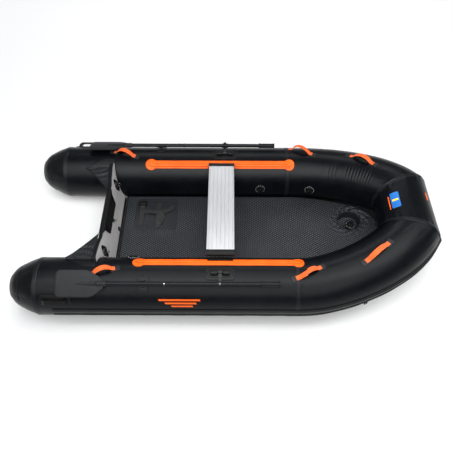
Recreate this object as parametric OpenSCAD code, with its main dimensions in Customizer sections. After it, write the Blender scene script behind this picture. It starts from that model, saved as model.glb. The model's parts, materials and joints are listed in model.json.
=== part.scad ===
// Inflatable dinghy: fabric tubes, air deck, wooden transom, sliding seat and a pair of oars.
// The frame has +X towards the bow, +Y to port and +Z up; z = 0 is the ground under the tubes.

/* [Hull] */
// Overall length, tail tip to bow strake
length = 3150; // [2900:10:3300]
// Overall width across the side tubes
beam = 1540; // [1500:10:1640]
// Diameter of the inflated tubes
tube_d = 420; // [400:5:430]
// How far the bow tube is carried above the side tubes
bow_rise = 151; // [120:1:170]
// Straight length of the bow tube between its corner seams
bow_width = 390; // [340:10:440]
// Thickness of the coated fabric
skin_t = 1.2; // [1.0:0.1:2.0]

/* [Deck] */
// Height of the air deck's walking face
deck_top = 130; // [125:1:140]
// Thickness of the air deck
deck_t = 75; // [70:1:80]
// Diameter of the hand hole over the keel valve
hand_hole_d = 185; // [160:5:200]

/* [Transom] */
// Thickness of the transom board
board_t = 25; // [20:1:27]
// Backward lean of the transom in degrees
board_rake = 11; // [8:1:12]
// Width of the outboard motor's clamp pads
motor_pad_w = 350; // [300:10:380]

/* [Seat] */
// Width of the seat plank, fore and aft
seat_w = 202; // [180:1:220]
// Height of the seat's top face
seat_top = 461; // [458:1:466]
// Length of the seat plank across the boat
seat_span = 828; // [800:2:836]

/* [Oars] */
// Diameter of the oar shaft
shaft_d = 30; // [26:1:32]
// Width of the oar blade
blade_w = 190; // [160:5:200]

/* [Hidden] */
$fn = 96;

// Colours
fabric_black = "#2b2d30";
fabric_grey = "#3c4045";
deck_grey = "#4a4f55";
orange = "#ff6a14";
moulded_black = "#1c1d1f";
transom_grey = "#8c8888";
silver = "#c9ccce";
steel = "#b4b8bc";

// Tubes
tube_r = tube_d / 2;
tube_y = beam / 2 - tube_r;
strake_r = 7;                  // ridge of the rub strake
strake_a = 6.5;                // angle between each ridge and the tube's equator
strake_out = (tube_r + 6) * cos(strake_a) + strake_r;
tail_x = -length / 2;
bow_x = length / 2 - strake_out;
cone_l = 210;
cone_x = tail_x + cone_l;
seam_x = 486;                  // seam between side tube and shoulder
bend_x = 520;                  // the shoulder starts to curve inwards here
rise_x = 545;                  // and to climb here
rise_power = 1.4;
glue = 0.4;                    // bond line under everything stuck to a tube

// Plan of the port shoulder: a cubic curve from the side tube's axis to the corner seam
shoulder_curve = [[bend_x, tube_y], [bend_x + 275, tube_y], [bow_x - 143, tube_y - 151],
                  [bow_x, bow_width / 2]];
curve_l = 1000;                // station length given to the curve
bow_station = bend_x + curve_l;

function unit(v) = v / norm(v);
function cubic(p, u) = p[0] * pow(1 - u, 3) + 3 * p[1] * u * pow(1 - u, 2)
    + 3 * p[2] * u * u * (1 - u) + p[3] * pow(u, 3);
function plan(q) = q <= bend_x ? [q, tube_y] : cubic(shoulder_curve, (q - bend_x) / curve_l);
function rise(x) = x <= rise_x ? 0 : bow_rise * pow((x - rise_x) / (bow_x - rise_x), rise_power);
// Point on the port tube's axis at station q
function centre(q) = let (p = plan(q)) [p[0], p[1], tube_r + rise(p[0])];
function forward(q) = unit(centre(q + 1) - centre(q - 1));
function outward(q) = unit(cross([0, 0, 1], forward(q)));
function upward(q) = cross(forward(q), outward(q));
// Point at distance r from the axis, a degrees outboard of the tube's top line
function skin(q, a, r) = centre(q) + r * (cos(a) * upward(q) + sin(a) * outward(q));

// The corner seam lies in the plane that halves the angle between shoulder and nose
corner = centre(bow_station);
corner_n = unit(forward(bow_station) + [0, -1, 0]);
function to_corner(p, way) = p + way * (((corner - p) * corner_n) / (way * corner_n));
nose_z = corner[2];
// The same on the nose tube: a counts from its top line towards the bow
function nose_skin(a, r) = to_corner([bow_x + r * sin(a), bow_width / 2, nose_z + r * cos(a)], [0, -1, 0]);

sides = 32;
shoulder_rings = concat([seam_x, rise_x], [for (q = [600:58:1354]) q], [bow_station]);
function ring(q, r) = [for (i = [0:sides - 1]) let (p = skin(q, 360 * i / sides, r))
    q == bow_station ? to_corner(p, forward(q)) : p];
function nose_ring(r, side) = [for (i = [0:sides - 1]) let (p = nose_skin(360 * i / sides, r))
    [p[0], side * (p[1] - 3), p[2]]];

// A pipe wall between an outer and an inner list of rings
module pipe(outer, inner) {
    n = len(outer);
    m = len(outer[0]);
    points = concat([for (r = outer) each r], [for (r = inner) each r]);
    half = n * m;
    function at(k, j, wall) = wall * half + k * m + j % m;
    faces = concat(
        [for (k = [0:n - 2], j = [0:m - 1], t = [0, 1])
            t == 0 ? [at(k, j, 0), at(k, j + 1, 0), at(k + 1, j + 1, 0)]
                   : [at(k, j, 0), at(k + 1, j + 1, 0), at(k + 1, j, 0)]],
        [for (k = [0:n - 2], j = [0:m - 1], t = [0, 1])
            t == 0 ? [at(k, j, 1), at(k + 1, j + 1, 1), at(k, j + 1, 1)]
                   : [at(k, j, 1), at(k + 1, j, 1), at(k + 1, j + 1, 1)]],
        [for (j = [0:m - 1], t = [0, 1])
            t == 0 ? [at(0, j, 0), at(0, j, 1), at(0, j + 1, 1)]
                   : [at(0, j, 0), at(0, j + 1, 1), at(0, j + 1, 0)]],
        [for (j = [0:m - 1], t = [0, 1])
            t == 0 ? [at(n - 1, j, 0), at(n - 1, j + 1, 1), at(n - 1, j, 1)]
                   : [at(n - 1, j, 0), at(n - 1, j + 1, 0), at(n - 1, j + 1, 1)]]);
    polyhedron(points, faces);
}

// A solid bar through a list of closed rings, with flat ends
module bar(rings) {
    n = len(rings);
    m = len(rings[0]);
    points = [for (r = rings) each r];
    faces = concat(
        [for (k = [0:n - 2], j = [0:m - 1], t = [0, 1])
            t == 0 ? [k * m + j, k * m + (j + 1) % m, (k + 1) * m + (j + 1) % m]
                   : [k * m + j, (k + 1) * m + (j + 1) % m, (k + 1) * m + j]],
        [for (j = [1:m - 2]) [0, j + 1, j]],
        [for (j = [1:m - 2]) [(n - 1) * m, (n - 1) * m + j, (n - 1) * m + j + 1]]);
    polyhedron(points, faces);
}

// Children drawn for the port side are mirrored to starboard
module starboard() mirror([0, 1, 0]) children();
module both_sides() {
    children();
    starboard() children();
}

// Frame on the port tube's surface: x forward, y round the tube to outboard, z out of the skin
module on_skin(q, a) {
    t = forward(q);
    r = cos(a) * upward(q) + sin(a) * outward(q);
    s = cos(a) * outward(q) - sin(a) * upward(q);
    p = skin(q, a, tube_r);
    multmatrix([[t[0], s[0], r[0], p[0]], [t[1], s[1], r[1], p[1]], [t[2], s[2], r[2], p[2]], [0, 0, 0, 1]])
        children();
}
// Inside that frame, the tube grown by a height above its skin
module tube_grown(h) translate([-200, 0, -tube_r]) rotate([0, 90, 0]) cylinder(r = tube_r + h, h = 400);
// Inside that frame, children trimmed to a layer that follows the skin
module pad(t) intersection() {
    difference() {
        tube_grown(glue + t);
        tube_grown(glue);
    }
    children();
}
module off_skin() difference() {
    children();
    tube_grown(glue);
}
module rounded(l, w, r, h) linear_extrude(h, center = true) union() {
    square([l - 2 * r, w], center = true);
    square([l, w - 2 * r], center = true);
    for (x = [-1, 1], y = [-1, 1]) translate([x * (l / 2 - r), y * (w / 2 - r)]) circle(r, $fn = 32);
}

// Section across the straight tube, u outboard and v up, drawn between two stations
module along_tube(x0, x1) translate([x0, tube_y, tube_r]) rotate([90, 0, 90]) linear_extrude(x1 - x0) children();
module sector(a0, a1, r0, r1) intersection() {
    difference() {
        circle(r1);
        circle(r0);
    }
    polygon([[0, 0], 1.5 * r1 * [sin(a0), cos(a0)], 1.5 * r1 * [sin(a1), cos(a1)]]);
}

// ---- Tubes ----
valve_hole_d = 60;
side_valve_x = [263, -694];    // port and starboard chamber valves
side_valve_a = [-83, -50];
module side_tube(k) color(fabric_black) difference() {
    along_tube(cone_x, seam_x) difference() {
        circle(tube_r);
        circle(tube_r - skin_t);
    }
    on_skin(side_valve_x[k], side_valve_a[k]) cylinder(d = valve_hole_d, h = 60, center = true);
}
module side_tube_port() side_tube(0);
module side_tube_starboard() starboard() side_tube(1);

module shoulder_tube() color(fabric_black)
    pipe([for (q = shoulder_rings) ring(q, tube_r)], [for (q = shoulder_rings) ring(q, tube_r - skin_t)]);
module shoulder_tube_port() shoulder_tube();
module shoulder_tube_starboard() starboard() shoulder_tube();

module nose_tube() color(fabric_black)
    pipe([nose_ring(tube_r, 1), nose_ring(tube_r, -1)],
         [nose_ring(tube_r - skin_t, 1), nose_ring(tube_r - skin_t, -1)]);

// Radius of the tail cone at each distance from its tip, as shares of the tube's radius
cone_steps = [[0, 0.30], [12, 0.45], [40, 0.62], [90, 0.75], [cone_l, 1]];
module tail_cone() color(fabric_black) translate([tail_x, tube_y, tube_r]) rotate([0, 90, 0]) rotate_extrude()
    polygon(concat([[0, 0]], [for (s = cone_steps) [s[1] * tube_r, s[0]]],
        [for (i = [4:-1:0]) [cone_steps[i][1] * tube_r - 2, cone_steps[i][0] + (i == 4 ? 0 : 2)]], [[0, 2]]));
module tail_cone_port() tail_cone();
module tail_cone_starboard() starboard() tail_cone();

baffle_r = tube_r - skin_t - 0.5;
module chamber_baffles() color(fabric_grey) both_sides() translate([seam_x - 100, tube_y, tube_r])
    rotate([0, 90, 0]) rotate_extrude()
    polygon([[0, 0], [40, 0], [baffle_r, 90], [baffle_r, 92.4], [38, 2.4], [0, 2.4]]);

// ---- Rub strake: a flat band with two ridges round the outside of every tube ----
strake_x = -1240;
strake_half = 11;              // half-angle of the band
module strake_section() {
    sector(90 - strake_half, 90 + strake_half, tube_r + glue, tube_r + 5);
    for (s = [-1, 1]) rotate(s * strake_a) translate([tube_r + 6, 0]) difference() {
        circle(strake_r, $fn = 24);
        translate([-2 * strake_r - 5, -strake_r]) square([2 * strake_r, 2 * strake_r]);
    }
}
strake_ring = [[-strake_half, glue + 0.6], [-strake_half, 5], [-9, 6], [-strake_a, 13], [-4, 6],
               [4, 6], [strake_a, 13], [9, 6], [strake_half, 5], [strake_half, glue + 0.6],
               [5.5, glue + 0.6], [0, glue + 0.6], [-5.5, glue + 0.6]];
strake_stations = [for (q = shoulder_rings) q == seam_x ? q + 0.5 : q];
function strake_at(q) = [for (s = strake_ring) let (p = skin(q, 90 + s[0], tube_r + s[1]))
    q == bow_station ? to_corner(p, forward(q)) : p];
bow_strake = concat([for (q = strake_stations) strake_at(q)],
    [for (i = [len(strake_stations) - 1:-1:0]) [for (p = strake_at(strake_stations[i])) [p[0], -p[1], p[2]]]]);
module rub_strake() color(moulded_black) {
    both_sides() along_tube(strake_x, seam_x) strake_section();
    bar(bow_strake);
}

// ---- Bottom ----
deck_rise_x = 700;             // the deck and keel turn up ahead of this
deck_rise = 62;
deck_front = 1240;
keel_front = bow_x - 50;
attach_a = -163;               // where the bottom fabric meets the tubes
bottom_x0 = -960;
function lift(x, x0, x1, h, power) = x <= x0 ? 0 : h * pow((x - x0) / (x1 - x0), power);
function keel_z(x) = 3 + lift(x, deck_rise_x, keel_front, nose_z - tube_r + 2, 3.2);
bottom_cols = 10;
bottom_stations = concat([bottom_x0, 0, 400], [for (q = [560:80:1440]) q]);
function bottom_row(q, dz) = let (p = skin(q, attach_a, tube_r + 4), k = min(keel_z(p[0]), p[2] - 2))
    [for (j = [0:bottom_cols]) let (t = 2 * j / bottom_cols - 1)
        [p[0], t * p[1], k + (p[2] - k) * pow(abs(t), 2.2) + dz]];
module hull_bottom() color(fabric_black)
    bar([for (q = bottom_stations) concat(bottom_row(q, 1.6),
        [for (j = [bottom_cols:-1:0]) bottom_row(q, 0)[j]])]);

keel_d = 46;
module keel_tube() color(fabric_grey) translate([-850, 0, 30]) rotate([0, 90, 0]) difference() {
    cylinder(d = keel_d, h = 1600);
    translate([0, 0, -1]) cylinder(d = keel_d - 2 * skin_t, h = 1602);
}

// Half-width of the deck at x, so that its top edge just clears the tubes
function station(x) = x <= bend_x ? x : let (lo = bend_x, hi = bow_station) halve(x, lo, hi, 14);
function halve(x, lo, hi, n) = n == 0 ? (lo + hi) / 2 : let (mid = (lo + hi) / 2)
    plan(mid)[0] < x ? halve(x, mid, hi, n - 1) : halve(x, lo, mid, n - 1);
function deck_z(x) = deck_top + lift(x, deck_rise_x, deck_front, deck_rise, 2);
function tube_half(x, z) = let (q = station(x), c = centre(q), h = c[2] - z)
    c[1] - sqrt(max(0, tube_r * tube_r - h * h)) / forward(q)[0];
deck_round = 190;              // rounding of the deck's front edge
function deck_half(x) = let (room = tube_half(x, deck_z(x)) - 6, d = x - (deck_front - deck_round))
    d <= 0 ? room : min(room, (room - deck_round) + sqrt(max(1, deck_round * deck_round - d * d)));
deck_xs = concat([-866, -300, 300], [for (x = [500:60:1040]) x], [1080, 1120, 1155, 1185, 1208, 1222]);
function deck_loop(inset, dz) = let (n = len(deck_xs)) concat(
    [for (i = [0:n - 1]) deck_point(i, inset, dz, -1)], [for (i = [n - 1:-1:0]) deck_point(i, inset, dz, 1)]);
function deck_point(i, inset, dz, side) = let (x = deck_xs[i], n = len(deck_xs) - 1)
    [x + (i == 0 ? inset : i == n ? -inset : 0), side * (deck_half(x) - inset), deck_z(x) + dz];
// A tray: top skin and rim, open underneath
module tray(t) {
    n = 2 * len(deck_xs);
    points = concat(deck_loop(0, -deck_t), deck_loop(0, 0), deck_loop(t, -t), deck_loop(t, -deck_t));
    function side_faces(a, b) = [for (i = [0:n - 1], k = [0, 1]) let (j = (i + 1) % n)
        k == 0 ? [a * n + i, b * n + j, a * n + j] : [a * n + i, b * n + i, b * n + j]];
    function cap_faces(a, up) = [for (i = [0:n / 2 - 2], k = [0, 1]) let (p = a * n + i, q = a * n + n - 1 - i)
        let (f = k == 0 ? [p, p + 1, q - 1] : [p, q - 1, q]) up ? [f[0], f[2], f[1]] : f];
    polyhedron(points, concat(side_faces(0, 1), cap_faces(1, true), side_faces(2, 3), cap_faces(2, false),
        side_faces(3, 0)));
}
// The base skin, set inside the rim
module base_skin(t) {
    n = 2 * len(deck_xs);
    points = concat(deck_loop(t + 0.6, -deck_t), deck_loop(t + 0.6, t - deck_t));
    polyhedron(points, concat(
        [for (i = [0:n - 1], k = [0, 1]) let (j = (i + 1) % n) k == 0 ? [i, n + j, j] : [i, n + i, n + j]],
        [for (i = [0:n / 2 - 2], k = [0, 1]) let (p = n + i, q = n + n - 1 - i)
            k == 0 ? [p, q - 1, p + 1] : [p, q, q - 1]],
        [for (i = [0:n / 2 - 2], k = [0, 1]) let (p = i, q = n - 1 - i)
            k == 0 ? [p, p + 1, q - 1] : [p, q - 1, q]]));
}
hand_hole = [982, 92];
module air_deck() color(deck_grey) {
    difference() {
        union() {
            tray(2);
            base_skin(2);
        }
        translate([hand_hole[0], hand_hole[1], 0]) cylinder(d = hand_hole_d, h = 400, $fn = 40);
    }
    translate([hand_hole[0], hand_hole[1], deck_top - deck_t + 22]) difference() {
        cylinder(d = hand_hole_d - 1, h = deck_t - 12, $fn = 40);
        translate([0, 0, -1]) cylinder(d = hand_hole_d - 5, h = deck_t, $fn = 40);
    }
}

// ---- Transom: x out of the board's inner face, z up the board ----
board_foot = [-884, 0, deck_top - 10];
module on_transom() translate(board_foot) rotate([0, -board_rake, 0]) children();
board_top = 278;
ear_top = 318;
module board_outline() polygon([[-430, -68], [430, -68], [430, 150], [478, 240], [478, ear_top - 26],
    [452, ear_top], [412, ear_top], [330, ear_top - 14], [250, board_top], [-250, board_top],
    [-330, ear_top - 14], [-412, ear_top], [-452, ear_top], [-478, ear_top - 26], [-478, 240], [-430, 150]]);
// Children drawn across the board (u to port, v up) and extruded from x0 to x1
module board_slab(x0, x1) translate([x0, 0, 0]) rotate([90, 0, 90]) linear_extrude(x1 - x0) children();
drain_z = 26;
drain_d = 24;
module transom_board() color(transom_grey) difference() {
    on_transom() difference() {
        board_slab(-board_t, 0) board_outline();
        translate([-60, 0, drain_z]) rotate([0, 90, 0]) cylinder(d = drain_d + 0.6, h = 100);
    }
    both_sides() tube_room();
}
// Room for the tube and the holder's flange on it
module tube_room() translate([-1300, tube_y, tube_r]) rotate([0, 90, 0]) cylinder(r = tube_r + 3.6, h = 800);
module transom_trim() color(moulded_black) difference() {
    on_transom() board_slab(-board_t - 2, 2) intersection() {
        difference() {
            translate([0, 4.2]) board_outline();
            translate([0, 0.2]) board_outline();
        }
        translate([-480, 270]) square([960, 80]);
    }
    both_sides() tube_room();
}
pad_h = 112;
module motor_pad_shape(w, h) polygon([[-w / 2 - 40, 0], [-w / 2, -16], [-w / 2 + 30, -h], [w / 2 - 30, -h],
    [w / 2, -16], [w / 2 + 40, 0]]);
module motor_pad_inner() color(moulded_black) on_transom()
    board_slab(2.2, 9) translate([0, board_top]) motor_pad_shape(motor_pad_w, pad_h);
module motor_pad_outer() color(fabric_grey) on_transom()
    board_slab(-board_t - 9, -board_t - 2.2) translate([0, board_top]) motor_pad_shape(motor_pad_w, 1.5 * pad_h);
module transom_seal() color(moulded_black) on_transom() translate([0.3, -345, -9]) rotate([-90, 0, 0])
    linear_extrude(690) polygon([[0, 0], [10, 0], [8, -8], [0, -13]]);
module eye_ring(r, wire) rotate_extrude() translate([r, 0]) circle(wire, $fn = 24);
eye_y = 326;
eye_z = 195;
module transom_eyes() color(steel) on_transom() {
    translate([0.2, 0, 144]) rotate([0, 90, 0]) cylinder(d = 34, h = 3);
    translate([13, 0, 144]) rotate([90, 0, 0]) eye_ring(10, 2.5);
    for (s = [-1, 1]) translate([0, s * eye_y, eye_z]) {
        rotate([0, 90, 0]) cylinder(d = 62, h = 5);
        translate([21, 0, 0]) rotate([90, 0, 0]) eye_ring(14, 3);
    }
}
module drain_socket() color(moulded_black) on_transom() translate([0, 0, drain_z]) rotate([0, 90, 0])
    difference() {
        union() {
            translate([0, 0, -board_t - 4]) cylinder(d = drain_d, h = board_t + 8);
            translate([0, 0, 0.2]) cylinder(d = 40, h = 4);
            translate([0, 0, -board_t - 4.2]) cylinder(d = 40, h = 4);
        }
        translate([0, 0, -60]) cylinder(d = 17, h = 100);
    }
module drain_plug() color(fabric_grey) on_transom() translate([0, 0, drain_z]) rotate([0, 90, 0]) {
    translate([0, 0, -20]) cylinder(d = 16, h = 24.7);
    translate([0, 0, 4.6]) cylinder(d = 30, h = 4);
    translate([0, 0, 14]) rounded(7, 26, 3, 14);
}

// Fabric holder: a flange on the tube and a web from it to the back of the board
holder_x = -1174;
holder_end = -968;
web_w = 215;
function web_point(s, t, dz) = let (x = holder_x + (holder_end - holder_x) * s, a = skin(x, -33, tube_r + 5))
    [x, a[1] - t * (12 + web_w * pow(s, 1.2)), a[2] + 2 + 8 * s - t * 14 * s + dz];
module transom_holder() color(fabric_grey) {
    on_skin((holder_x + holder_end) / 2 + 20, -22) pad(2.4) linear_extrude(30, center = true)
        polygon([[-125, -44], [110, -44], [110, 38], [20, 38]]);
    bar([for (i = [0:8]) [web_point(i / 8, 0, 0), web_point(i / 8, 1, 0), web_point(i / 8, 1, 2.4),
        web_point(i / 8, 0, 2.4)]]);
}
module transom_holder_port() transom_holder();
module transom_holder_starboard() starboard() transom_holder();

// ---- Seat ----
track_a = -25;
track_x = [-686, 545];
disc_d = 96;
track_h = 16;
module seat_track() color(orange) {
    along_tube(track_x[0] + disc_d / 2, track_x[1] - disc_d / 2) difference() {
        union() {
            sector(track_a - 9, track_a + 9, tube_r + glue, tube_r + 4);
            sector(track_a - 5, track_a + 5, tube_r + glue, tube_r + track_h);
        }
        sector(track_a - 0.6, track_a + 0.6, tube_r + 8, tube_r + 30);
    }
    for (x = [track_x[0] + disc_d / 2, track_x[1] - disc_d / 2])
        on_skin(x, track_a) pad(3.6) difference() {
            cylinder(d = disc_d, h = 40, center = true);
            translate([x < 0 ? -0.3 : -199.7, -100, -50]) cube([200, 200, 100]);
        }
}
module seat_track_port() seat_track();
module seat_track_starboard() starboard() seat_track();

seat_x = -59;
seat_t = 30;
cap_y = seat_span / 2 - 14;
// The plank's ends are stepped down where they slide into the caps
module seat_plank() color(silver) translate([seat_x, 0, seat_top - seat_t / 2]) rotate([90, 0, 0]) {
    linear_extrude(2 * cap_y - 0.4, center = true) plank_section(seat_w, seat_t);
    for (y = [0, 1]) mirror([0, 0, y]) translate([0, 0, cap_y - 0.4]) linear_extrude(14)
        plank_section(seat_w - 3, seat_t - 3);
}
module plank_section(w, t) difference() {
    square([w, t], center = true);
    for (i = [-1, 0, 1]) translate([i * seat_w / 3, 0]) square([seat_w / 3 - 5, seat_t - 8], center = true);
}
cap_end = 440;
module seat_cap() color(moulded_black) difference() {
    union() {
        translate([seat_x - seat_w / 2 - 3, 0, 0]) rotate([90, 0, 90]) linear_extrude(seat_w + 6)
            polygon([[cap_y, seat_top - seat_t - 3], [cap_y, seat_top + 3], [cap_end - 12, seat_top + 3],
                     [cap_end, seat_top - 8], [cap_end, seat_top - 24], [cap_end - 9, seat_top - 33]]);
        on_skin(seat_x, track_a) translate([-seat_w / 2 + 10, -28, track_h + 1]) cube([seat_w - 20, 30, 9]);
    }
    translate([seat_x - seat_w / 2 - 0.2, 0, seat_top - seat_t - 0.2])
        cube([seat_w + 0.4, seat_span / 2 + 0.2, seat_t + 0.4]);
}
module seat_cap_port() seat_cap();
module seat_cap_starboard() starboard() seat_cap();

// ---- Webbing handles: a strap between two patches, each end [station, angle] ----
handle_ends = [
    [[-955, 9], [-774, -5]], [[504, 25], [739, 3]], [[1043, 9], [1248, -3]],
    [[-967, 8], [-797, -7]], [[469, 13], [700, -7]], [[1010, 9], [1226, -3]]];
handle_lift = [46, 46, 40, 46, 46, 40];
strap_w = 32;
strap_t = 3.4;
strap_steps = 14;
function strap_height(k, s) = 4 + handle_lift[k] * pow(max(0, sin(180 * (s - 0.12) / 0.76)) * (s > 0.12 && s < 0.88 ? 1 : 0), 0.7);
// Point on handle k at share s of its length, w to the side and h above the skin
function strap_point(k, s, w, h) = let (e = handle_ends[k], d = e[1] - e[0],
    v = unit([d[0], d[1] * PI / 180 * tube_r]), q = e[0][0] + d[0] * s - v[1] * w,
    a = e[0][1] + d[1] * s + v[0] * w / tube_r * 180 / PI) skin(q, a, tube_r + h);
module grab_handle(k) color(orange) bar([for (i = [0:strap_steps]) let (s = i / strap_steps, h = strap_height(k, s))
    [strap_point(k, s, strap_w / 2, h), strap_point(k, s, -strap_w / 2, h),
     strap_point(k, s, -strap_w / 2, h + strap_t), strap_point(k, s, strap_w / 2, h + strap_t)]]);
module grab_handle_aft_port() grab_handle(0);
module grab_handle_aft_starboard() starboard() grab_handle(3);
module grab_handle_mid_port() grab_handle(1);
module grab_handle_mid_starboard() starboard() grab_handle(4);
module grab_handle_bow_port() grab_handle(2);
module grab_handle_bow_starboard() starboard() grab_handle(5);
patch_l = [-34, 36];
module handle_patches() color(fabric_grey) for (k = [0:5], end = [0, 1]) mirror([0, k > 2 ? 1 : 0, 0])
    let (d = handle_ends[k][1][0] - handle_ends[k][0][0], from = end == 0 ? patch_l[0] : d - patch_l[1],
         to = end == 0 ? patch_l[1] : d - patch_l[0])
    bar([for (i = [0:3]) let (s = (from + (to - from) * i / 3) / d, w = strap_w / 2 + (i == 0 || i == 3 ? 5 : 9))
        [strap_point(k, s, w, 1), strap_point(k, s, 0, 1), strap_point(k, s, -w, 1),
         strap_point(k, s, -w, 3), strap_point(k, s, 0, 3), strap_point(k, s, w, 3)]]);

// ---- Moulded carrying handles on the tails ----
carry_x = -1206;
carry_a = 57;
module carry_handles() color(moulded_black) both_sides() on_skin(carry_x, carry_a) {
    pad(4) rounded(224, 84, 28, 60);
    off_skin() rotate([90, 0, 0]) linear_extrude(30, center = true) difference() {
        polygon([[-94, 0], [94, 0], [82, 32], [60, 44], [-60, 44], [-82, 32]]);
        polygon([[-70, -1], [70, -1], [62, 26], [50, 33], [-50, 33], [-62, 26]]);
    }
}

// ---- Rowlocks and oars ----
row_x = -59;
hinge_a = 3;                   // the hinge barrels lie just outboard of the top line
hinge_h = 15;
barrel_r = 11;
oar_a = 25;                    // the stowed oar lies this far outboard
port_x = 26;                   // the port rowlock, oar and clip sit this much further forward
oar_h = 32;                    // and its axis this far above the skin
pin_r = 5;
module rowlock_base() color(moulded_black) on_skin(row_x, hinge_a) {
    pad(3) rounded(210, 108, 26, 60);
    for (s = [-1, 1]) {
        off_skin() translate([s * 44, 0, hinge_h / 2]) difference() {
            cube([52, 20, hinge_h], center = true);
            translate([-40, 0, hinge_h / 2]) rotate([0, 90, 0]) cylinder(r = barrel_r, h = 80);
        }
        translate([s * 44 - 26, 0, hinge_h]) rotate([0, 90, 0]) difference() {
            cylinder(r = barrel_r, h = 52);
            translate([0, 0, -1]) cylinder(r = 4.05, h = 54);
        }
    }
}
module rowlock_knuckle() color(fabric_grey) {
    on_skin(row_x, hinge_a) {
        translate([-68, 0, hinge_h]) rotate([0, 90, 0]) cylinder(r = 4, h = 136);
        translate([-14, 0, hinge_h]) rotate([0, 90, 0]) cylinder(r = barrel_r, h = 28);
        off_skin() translate([-11, 0, hinge_h - 7]) cube([22, 39, 8]);
    }
    on_skin(row_x, oar_a) {
        translate([0, 0, 5]) cylinder(r = 13, h = 8.6);
        translate([0, -25, 8]) cube([22, 50, 8], center = true);
        translate([0, 0, 10]) cylinder(r = pin_r, h = 44);
        translate([0, 0, 50]) cylinder(r = 11, h = 8);
    }
}
module rowlock_base_port() translate([port_x, 0, 0]) rowlock_base();
module rowlock_base_starboard() starboard() rowlock_base();
module rowlock_knuckle_port() translate([port_x, 0, 0]) rowlock_knuckle();
module rowlock_knuckle_starboard() starboard() rowlock_knuckle();

tip_x = -1192;
socket_x = -842;
joint_x = -400;
grip_x = 226;
butt_x = 356;
blade_t = 6;
// Drawn along the stowed oar: x along the boat, y across the blade, z out of the tube
module on_oar() on_skin(row_x, oar_a) translate([-row_x, 0, oar_h]) children();
module rod(x0, x1, r) translate([x0, 0, 0]) rotate([0, 90, 0]) cylinder(r = r, h = x1 - x0);
shaft_r = shaft_d / 2;
module oar_blade() color(fabric_grey) on_oar() difference() {
    union() {
        translate([0, 0, -blade_t / 2]) linear_extrude(blade_t) {
            polygon([[tip_x, -blade_w / 2 + 34], [tip_x + 34, -blade_w / 2], [-985, -blade_w / 2], [socket_x - 20, -26],
                     [socket_x - 20, 36], [-942, blade_w / 2], [tip_x + 34, blade_w / 2], [tip_x, blade_w / 2 - 34]]);
            for (s = [-1, 1]) translate([tip_x + 34, s * (blade_w / 2 - 34)]) circle(34);
        }
        translate([tip_x + 80, 0, 0]) rotate([0, 90, 0]) cylinder(r1 = 4, r2 = 12, h = 150);
        rod(tip_x + 230, socket_x - 60, 12);
        rod(socket_x - 60, socket_x, shaft_r + 4);
    }
    rod(socket_x - 59, socket_x + 1, shaft_r + 0.2);
}
module oar_shaft_lower() color(fabric_grey) on_oar() difference() {
    rod(socket_x - 58, joint_x, shaft_r);
    rod(socket_x - 70, joint_x + 10, shaft_r - 1.5);
    translate([joint_x - 40, 0, 0]) cylinder(r = 4.4, h = 40);
}
module oar_shaft_upper() color(fabric_grey) on_oar() difference() {
    union() {
        rod(joint_x + 0.5, butt_x - 12, shaft_r);
        rod(joint_x - 80, joint_x + 10, shaft_r - 1.8);
        rod(row_x - 26, row_x + 26, shaft_r + 2.5);
    }
    rod(joint_x - 90, joint_x + 2, shaft_r - 3.4);
    rod(joint_x + 1, butt_x + 10, shaft_r - 3.4);
    translate([row_x, 0, -30]) cylinder(r = pin_r + 0.4, h = 60);
    translate([joint_x - 40, 0, 0]) cylinder(r = 4.4, h = 40);
}
module oar_grip() color(moulded_black) on_oar() difference() {
    union() {
        rod(grip_x, butt_x, shaft_r + 3);
        for (x = [grip_x, butt_x - 8]) rod(x, x + 8, shaft_r + 6);
    }
    rod(grip_x - 1, butt_x - 10, shaft_r + 0.2);
}
module oar_button() color(steel) on_oar() translate([joint_x - 40, 0, 0]) {
    translate([0, 0, 4]) cylinder(r = 4, h = 14);
    translate([0, 0, 4]) cylinder(r = 6, h = 3);
}
module oar_blade_port() translate([port_x, 0, 0]) oar_blade();
module oar_blade_starboard() starboard() oar_blade();
module oar_shaft_lower_port() translate([port_x, 0, 0]) oar_shaft_lower();
module oar_shaft_lower_starboard() starboard() oar_shaft_lower();
module oar_shaft_upper_port() translate([port_x, 0, 0]) oar_shaft_upper();
module oar_shaft_upper_starboard() starboard() oar_shaft_upper();
module oar_grip_port() translate([port_x, 0, 0]) oar_grip();
module oar_grip_starboard() starboard() oar_grip();
module oar_button_port() translate([port_x, 0, 0]) oar_button();
module oar_button_starboard() starboard() oar_button();

// A cradle under each oar, open outboard so that the oar can swing away
clip_x = -594;
module oar_clips() color(moulded_black) {
    translate([port_x, 0, 0]) oar_clip();
    starboard() oar_clip();
}
module oar_clip() on_skin(clip_x, oar_a) {
    pad(4) rounded(84, 116, 24, 60);
    off_skin() rotate([0, 90, 0]) linear_extrude(26, center = true) rotate(90) difference() {
        polygon([[-30, 0], [24, 0], [20, 14], [-19, 27], [-30, 27]]);
        translate([0, oar_h]) circle(shaft_r + 2);
        translate([0, oar_h - shaft_r - 2]) square([60, 60]);
    }
}

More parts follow.
